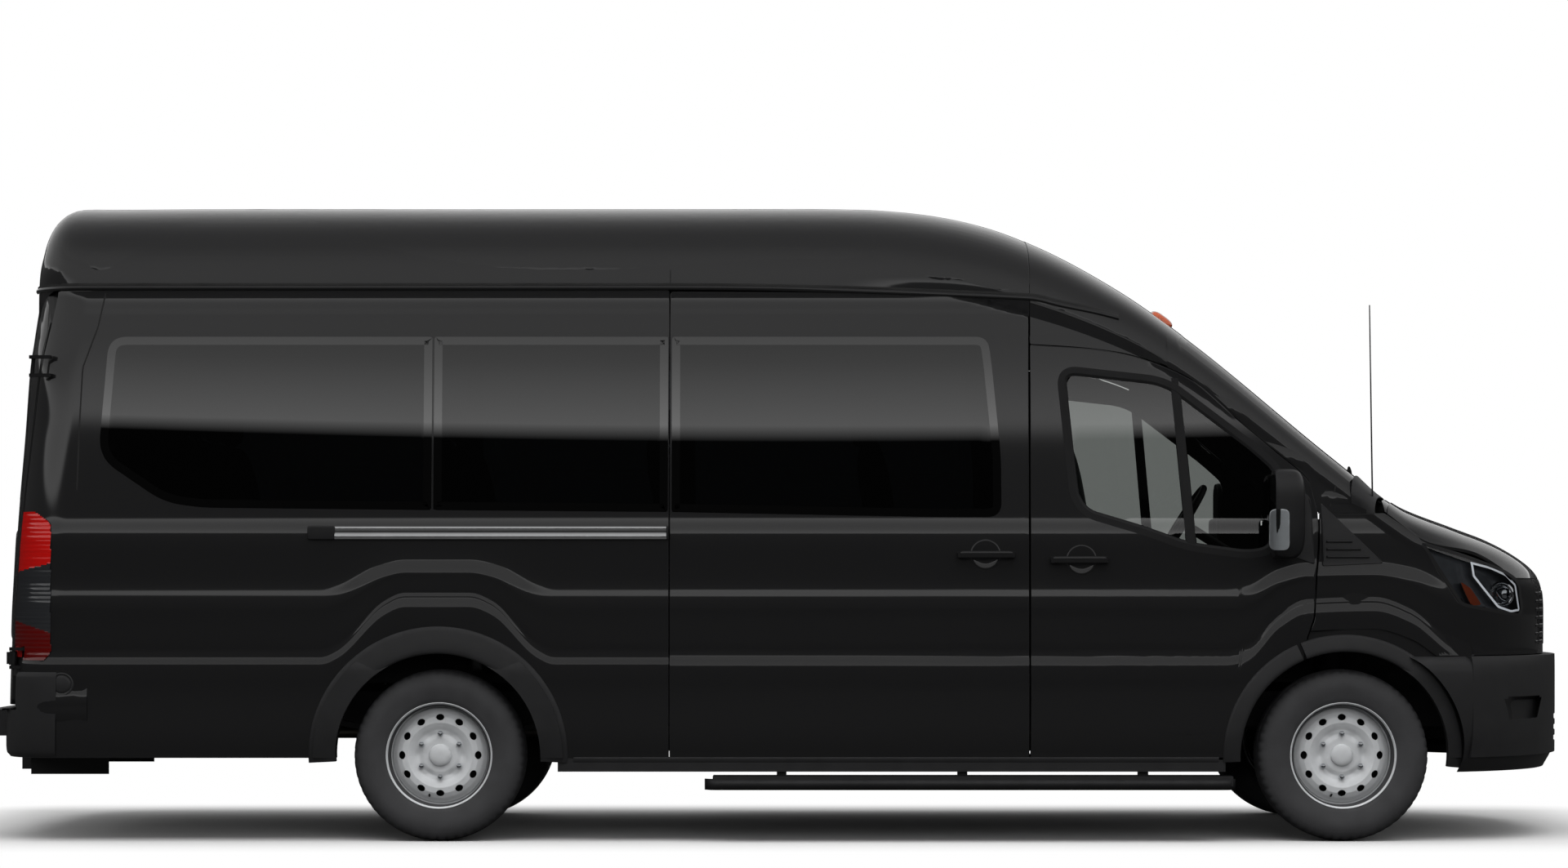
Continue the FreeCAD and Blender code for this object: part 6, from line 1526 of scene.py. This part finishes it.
# Stage
def studio_floor(half):
    """A level pale floor whose shade counts only near the van: past 0.7 m from its footprint it is plain white;
    nearer it is a diffuse of 0.52 that takes the real shadow, plus a painted shadow darkening it towards the
    footprint. Mirrors and glass see it dark."""
    mesh = bpy.data.meshes.new("floor")
    corners = [(-half, -half, 0), (half, -half, 0), (half, half, 0), (-half, half, 0)]
    mesh.from_pydata(corners, [], [(0, 1, 2, 3)])
    floor = bpy.data.objects.new("floor", mesh)
    bpy.context.scene.collection.objects.link(floor)
    material, tree, out = blank("pale studio floor")
    place = add(tree, "ShaderNodeTexCoord")
    parts = add(tree, "ShaderNodeSeparateXYZ", {0: place.outputs["Object"]})
    past = []
    for axis, reach in ((0, 3.35), (1, 1.02)):
        size = add(tree, "ShaderNodeMath", {0: parts.outputs[axis]}, operation="ABSOLUTE")
        over = add(tree, "ShaderNodeMath", {0: size.outputs[0], 1: reach}, operation="SUBTRACT")
        clear = add(tree, "ShaderNodeMath", {0: over.outputs[0], 1: 0.0}, operation="MAXIMUM")
        past.append(add(tree, "ShaderNodeMath", {0: clear.outputs[0], 1: 2.0}, operation="POWER"))
    square = add(tree, "ShaderNodeMath", {0: past[0].outputs[0], 1: past[1].outputs[0]}, operation="ADD")
    away = add(tree, "ShaderNodeMath", {0: square.outputs[0], 1: 0.5}, operation="POWER")
    # Painted shadow: within the footprint the floor is a diffuse of 0.52. Over 0.7 m past it, that diffuse
    # mixes into plain white by distance alone, and the diffuse also takes the real shadow.
    painted_shadow_fade = add(tree, "ShaderNodeMapRange", {"Value": away.outputs[0], "From Min": 0.0, "From Max": 0.7},
               interpolation_type="SMOOTHSTEP")
    lit = add(tree, "ShaderNodeBsdfDiffuse", {"Color": (0.52, 0.52, 0.52, 1)})
    plain = add(tree, "ShaderNodeEmission", {"Color": (1, 1, 1, 1)})
    pale = add(tree, "ShaderNodeMixShader", {0: painted_shadow_fade.outputs[0], 1: lit.outputs[0], 2: plain.outputs[0]})
    dark = add(tree, "ShaderNodeBsdfDiffuse", {"Color": (0.045, 0.045, 0.045, 1)})
    path = add(tree, "ShaderNodeLightPath")
    mix = add(tree, "ShaderNodeMixShader", {0: path.outputs["Is Camera Ray"], 1: dark.outputs[0],
                                            2: pale.outputs[0]})
    tree.links.new(mix.outputs[0], out.inputs["Surface"])
    mesh.materials.append(material)
    return floor


def soft_box(name, place, size, power, target):
    """A large flat lamp aimed at a point, unseen by mirrors."""
    data = bpy.data.lights.new(name, "AREA")
    data.shape, data.size, data.size_y, data.energy = "RECTANGLE", *size, power
    lamp = bpy.data.objects.new(name, data)
    lamp.location = place
    lamp.rotation_euler = (Vector(target) - Vector(place)).to_track_quat("-Z", "Y").to_euler()
    lamp.visible_glossy = False
    bpy.context.scene.collection.objects.link(lamp)
    return lamp


def studio_world():
    """White to the camera, even and soft to dull surfaces, and to mirrors a bright band low over a dark floor
    that fades upwards."""
    world = bpy.data.worlds.new("studio")
    bpy.context.scene.world = world
    world.use_nodes = True
    tree = world.node_tree
    tree.nodes.clear()
    out = add(tree, "ShaderNodeOutputWorld")
    place = add(tree, "ShaderNodeTexCoord")
    parts = add(tree, "ShaderNodeSeparateXYZ", {0: place.outputs["Generated"]})
    ramp = add(tree, "ShaderNodeValToRGB", {"Fac": parts.outputs[2]})
    stops = ((0.0, 0.012), (0.1768, 0.012), (0.1785, 1.35), (0.1864, 1.1), (0.194, 0.9), (0.202, 0.72),
             (0.214, 0.6), (0.26, 0.6), (0.5, 0.46), (0.8, 0.27), (1.0, 0.22))
    elements = ramp.color_ramp.elements
    while len(elements) < len(stops):
        elements.new(0.5)
    for element, (at, level) in zip(elements, stops):
        element.position, element.color = at, (level, level, level, 1)
    path = add(tree, "ShaderNodeLightPath")
    mirrored = add(tree, "ShaderNodeBackground", {"Color": ramp.outputs["Color"]})
    soft = add(tree, "ShaderNodeBackground", {"Color": (1, 1, 1, 1), "Strength": 0.75})
    white = add(tree, "ShaderNodeBackground", {"Color": (1, 1, 1, 1)})
    glossy = add(tree, "ShaderNodeMixShader", {0: path.outputs["Is Glossy Ray"], 1: soft.outputs[0],
                                               2: mirrored.outputs[0]})
    seen = add(tree, "ShaderNodeMixShader", {0: path.outputs["Is Camera Ray"], 1: glossy.outputs[0],
                                             2: white.outputs[0]})
    tree.links.new(seen.outputs[0], out.inputs["Surface"])


def side_camera():
    """The camera, square to the van's right side from sixteen metres."""
    data = bpy.data.cameras.new("camera")
    data.lens, data.sensor_width, data.shift_x, data.shift_y = 85.39, 36.0, -0.0206, 0.0938
    data.clip_end = 300
    camera = bpy.data.objects.new("camera", data)
    camera.location, camera.rotation_euler = (0.143, -16.388, 1.080), (math.radians(90), 0, 0)
    bpy.context.scene.collection.objects.link(camera)
    bpy.context.scene.camera = camera
    bpy.context.scene.view_settings.view_transform = "Standard"


# The add-on
class MinibusSettings(bpy.types.PropertyGroup):
    """Colours and sizes of the dressed van"""

    paint: bpy.props.FloatVectorProperty(
        name="Paint", description="Colour under the body's clear coat",
        subtype="COLOR", size=4, min=0, max=1, default=linear("#0a0a0b"))
    wheels: bpy.props.FloatVectorProperty(
        name="Wheels", description="Colour of the wheels' lacquer",
        subtype="COLOR", size=4, min=0, max=1, default=linear("#c3c5c7"))
    seats: bpy.props.FloatVectorProperty(
        name="Seat cloth", description="Colour of the woven seat covers",
        subtype="COLOR", size=4, min=0, max=1, default=linear("#3a3b3e"))
    privacy: bpy.props.FloatVectorProperty(
        name="Privacy glass", description="Tint of the passengers' windows",
        subtype="COLOR", size=4, min=0, max=1, default=linear("#2a2c2e"))
    aerial: bpy.props.FloatProperty(
        name="Aerial", description="Height of the whip aerial's tip above the ground",
        unit="LENGTH", min=1.6, max=2.7, default=2.226)
    fullness: bpy.props.FloatProperty(
        name="Seat fullness", description="How far the seats' pads are crowned",
        subtype="FACTOR", min=0, max=1, default=0.5)
    sky_power: bpy.props.FloatProperty(
        name="Overhead light", description="Power of the large lamp over the van",
        unit="POWER", min=0, max=9000, default=1500)
    front_power: bpy.props.FloatProperty(
        name="Side light", description="Power of the lamp on the camera's side",
        unit="POWER", min=0, max=3000, default=330)
    floor_half: bpy.props.FloatProperty(
        name="Floor", description="Half the width of the studio floor",
        unit="LENGTH", min=10, max=200, default=60)


def finished(operator, things):
    """Ends an operator, or raises an error if a piece is missing or empty."""
    for thing in things:
        if thing is None or (thing.type == "MESH" and not thing.data.polygons):
            raise RuntimeError(f"{operator.bl_label} could not be made")
    if not things:
        raise RuntimeError(f"{operator.bl_label} made nothing")
    return {"FINISHED"}


class MINIBUS_OT_materials(bpy.types.Operator):
    """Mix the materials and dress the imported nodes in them"""
    bl_idname = "minibus.materials"
    bl_label = "Materials"

    def execute(self, context):
        mix_materials(context.scene.minibus)
        return finished(self, dress_nodes())


class MINIBUS_OT_body_sides(bpy.types.Operator):
    """Lay the side sheets, the sliding door, the wings and the lines of their joints"""
    bl_idname = "minibus.body_sides"
    bl_label = "Body sides"

    def execute(self, context):
        things = [sliding_door_skin(), seam_strips()]
        for name, side in SIDES:
            things += [rear_side(side, f"{name}_side_skin"), wing_skin(side, name), drip_channel(side, name)]
        return finished(self, things)


class MINIBUS_OT_side_glass(bpy.types.Operator):
    """Set the passengers' flush windows"""
    bl_idname = "minibus.side_glass"
    bl_label = "Side windows"

    def execute(self, context):
        things = []
        for name, side in SIDES:
            things += [window_glass(REAR_GLASS, side, f"{name}_rear_side_glass", ("side_windows",)),
                       window_glass(MIDDLE_GLASS, side, f"{name}_middle_side_glass"),
                       window_glass(SLIDE_GLASS, side, f"{name}_front_side_glass")]
        return finished(self, things)


class MINIBUS_OT_front_doors(bpy.types.Operator):
    """Make the front doors' sheets, windows and mirrors"""
    bl_idname = "minibus.front_doors"
    bl_label = "Front doors"

    def execute(self, context):
        things = []
        for name, side in SIDES:
            things += [front_door_skin(side, name), front_door_glass(side, name), door_corner(side, name),
                       wing_corner(side, name), mirror(side, name)]
        return finished(self, things)


class MINIBUS_OT_top(bpy.types.Operator):
    """Lay the high roof, the cab's top and the windscreen"""
    bl_idname = "minibus.top"
    bl_label = "Roof and windscreen"

    def execute(self, context):
        return finished(self, [*roof_skin(), cab_skin(), windscreen_glass()])


class MINIBUS_OT_nose(bpy.types.Operator):
    """Make the bonnet, the grille panel and the front bumper"""
    bl_idname = "minibus.nose"
    bl_label = "Nose"

    def execute(self, context):
        return finished(self, [bonnet_skin(), front_fascia(), bumper_skin()])


class MINIBUS_OT_lamps(bpy.types.Operator):
    """Make the headlamps, fog lamps, tail lamps and clearance lamps"""
    bl_idname = "minibus.lamps"
    bl_label = "Lamps"

    def execute(self, context):
        things = [clearance_lamps()]
        for name, side in SIDES:
            things += [headlamp(side, name), fog_lamp(side, name), tail_lamp_lens(side, name)]
        return finished(self, things)


class MINIBUS_OT_tail(bpy.types.Operator):
    """Make the rear doors and the rear bumper"""
    bl_idname = "minibus.tail"
    bl_label = "Tail"

    def execute(self, context):
        return finished(self, [*rear_doors_skin(), rear_bumper_skin()])


class MINIBUS_OT_mouldings(bpy.types.Operator):
    """Make the wheel-arch mouldings, sills, running boards and the round side cap"""
    bl_idname = "minibus.mouldings"
    bl_label = "Mouldings"

    def execute(self, context):
        things = [*sills_and_steps(), side_cap()]
        for name, side in SIDES:
            things.append(arch_moulding(side, f"{name}_rear_arch_moulding", REAR_AXLE, 424, 537, -3, 183))
            things.append(arch_moulding(side, f"{name}_front_arch_moulding", FRONT_AXLE, 432, 503, -6, 111.5))
            things.append(arch_moulding(side, f"{name}_door_arch_moulding", FRONT_AXLE, 432, 503, 113.5, 183,
                                        f"{name}_front_door", (f"{name}_door_moulding",)))
        return finished(self, things)


class MINIBUS_OT_fittings(bpy.types.Operator):
    """Make the handles, the sliding door's rail, the wipers and the aerial"""
    bl_idname = "minibus.fittings"
    bl_label = "Fittings"

    def execute(self, context):
        things = [handle(-1, "body", "sliding_door_handle", 728, 964, 1190, 843), door_rail(), wipers(),
                  aerial_rod(context.scene.minibus.aerial / MM)]
        for name, side in SIDES:
            body = f"{name}_front_door"
            things.append(handle(side, body, f"{body}_handle", 1112, 1350, 1168, 1240))
        return finished(self, things)


class MINIBUS_OT_wheels(bpy.types.Operator):
    """Make the tyres and the pressed wheels"""
    bl_idname = "minibus.wheels"
    bl_label = "Wheels"

    def execute(self, context):
        return finished(self, wheels())


class MINIBUS_OT_seats(bpy.types.Operator):
    """Make every seat"""
    bl_idname = "minibus.seats"
    bl_label = "Seats"

    def execute(self, context):
        return finished(self, seats(context.scene.minibus.fullness))


class MINIBUS_OT_stage(bpy.types.Operator):
    """Set the floor, the lamps, the world and the camera"""
    bl_idname = "minibus.stage"
    bl_label = "Stage"

    def execute(self, context):
        settings = context.scene.minibus
        things = [studio_floor(settings.floor_half),
                  soft_box("sky box", (0, -3.0, 9.0), (14.0, 9.0), settings.sky_power, (0, 0, 0.5)),
                  soft_box("front wash", (3.0, -16.0, 5.0), (10.0, 4.0), settings.front_power, (0, 0, 1.0))]
        studio_world()
        side_camera()
        return finished(self, things)


OPERATORS = (
    MINIBUS_OT_materials, MINIBUS_OT_body_sides, MINIBUS_OT_side_glass, MINIBUS_OT_front_doors,
    MINIBUS_OT_top, MINIBUS_OT_nose, MINIBUS_OT_lamps, MINIBUS_OT_tail, MINIBUS_OT_mouldings,
    MINIBUS_OT_fittings, MINIBUS_OT_wheels, MINIBUS_OT_seats, MINIBUS_OT_stage,
)


class MINIBUS_PT_panel(bpy.types.Panel):
    """The van's settings and the steps that dress it"""
    bl_idname = "MINIBUS_PT_panel"
    bl_label = "Minibus"
    bl_space_type = "VIEW_3D"
    bl_region_type = "UI"
    bl_category = "Minibus"

    def draw(self, context):
        for name in MinibusSettings.__annotations__:
            self.layout.prop(context.scene.minibus, name)
        for operator in OPERATORS:
            self.layout.operator(operator.bl_idname)


def register():
    for item in (MinibusSettings, *OPERATORS, MINIBUS_PT_panel):
        bpy.utils.register_class(item)
    bpy.types.Scene.minibus = bpy.props.PointerProperty(type=MinibusSettings)


def unregister():
    del bpy.types.Scene.minibus
    for item in (MINIBUS_PT_panel, *reversed(OPERATORS), MinibusSettings):
        bpy.utils.unregister_class(item)


def main():
    """Registers the add-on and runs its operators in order."""
    register()
    for operator in OPERATORS:
        group, step = operator.bl_idname.split(".")
        getattr(getattr(bpy.ops, group), step)()


if __name__ == "__main__":
    main()
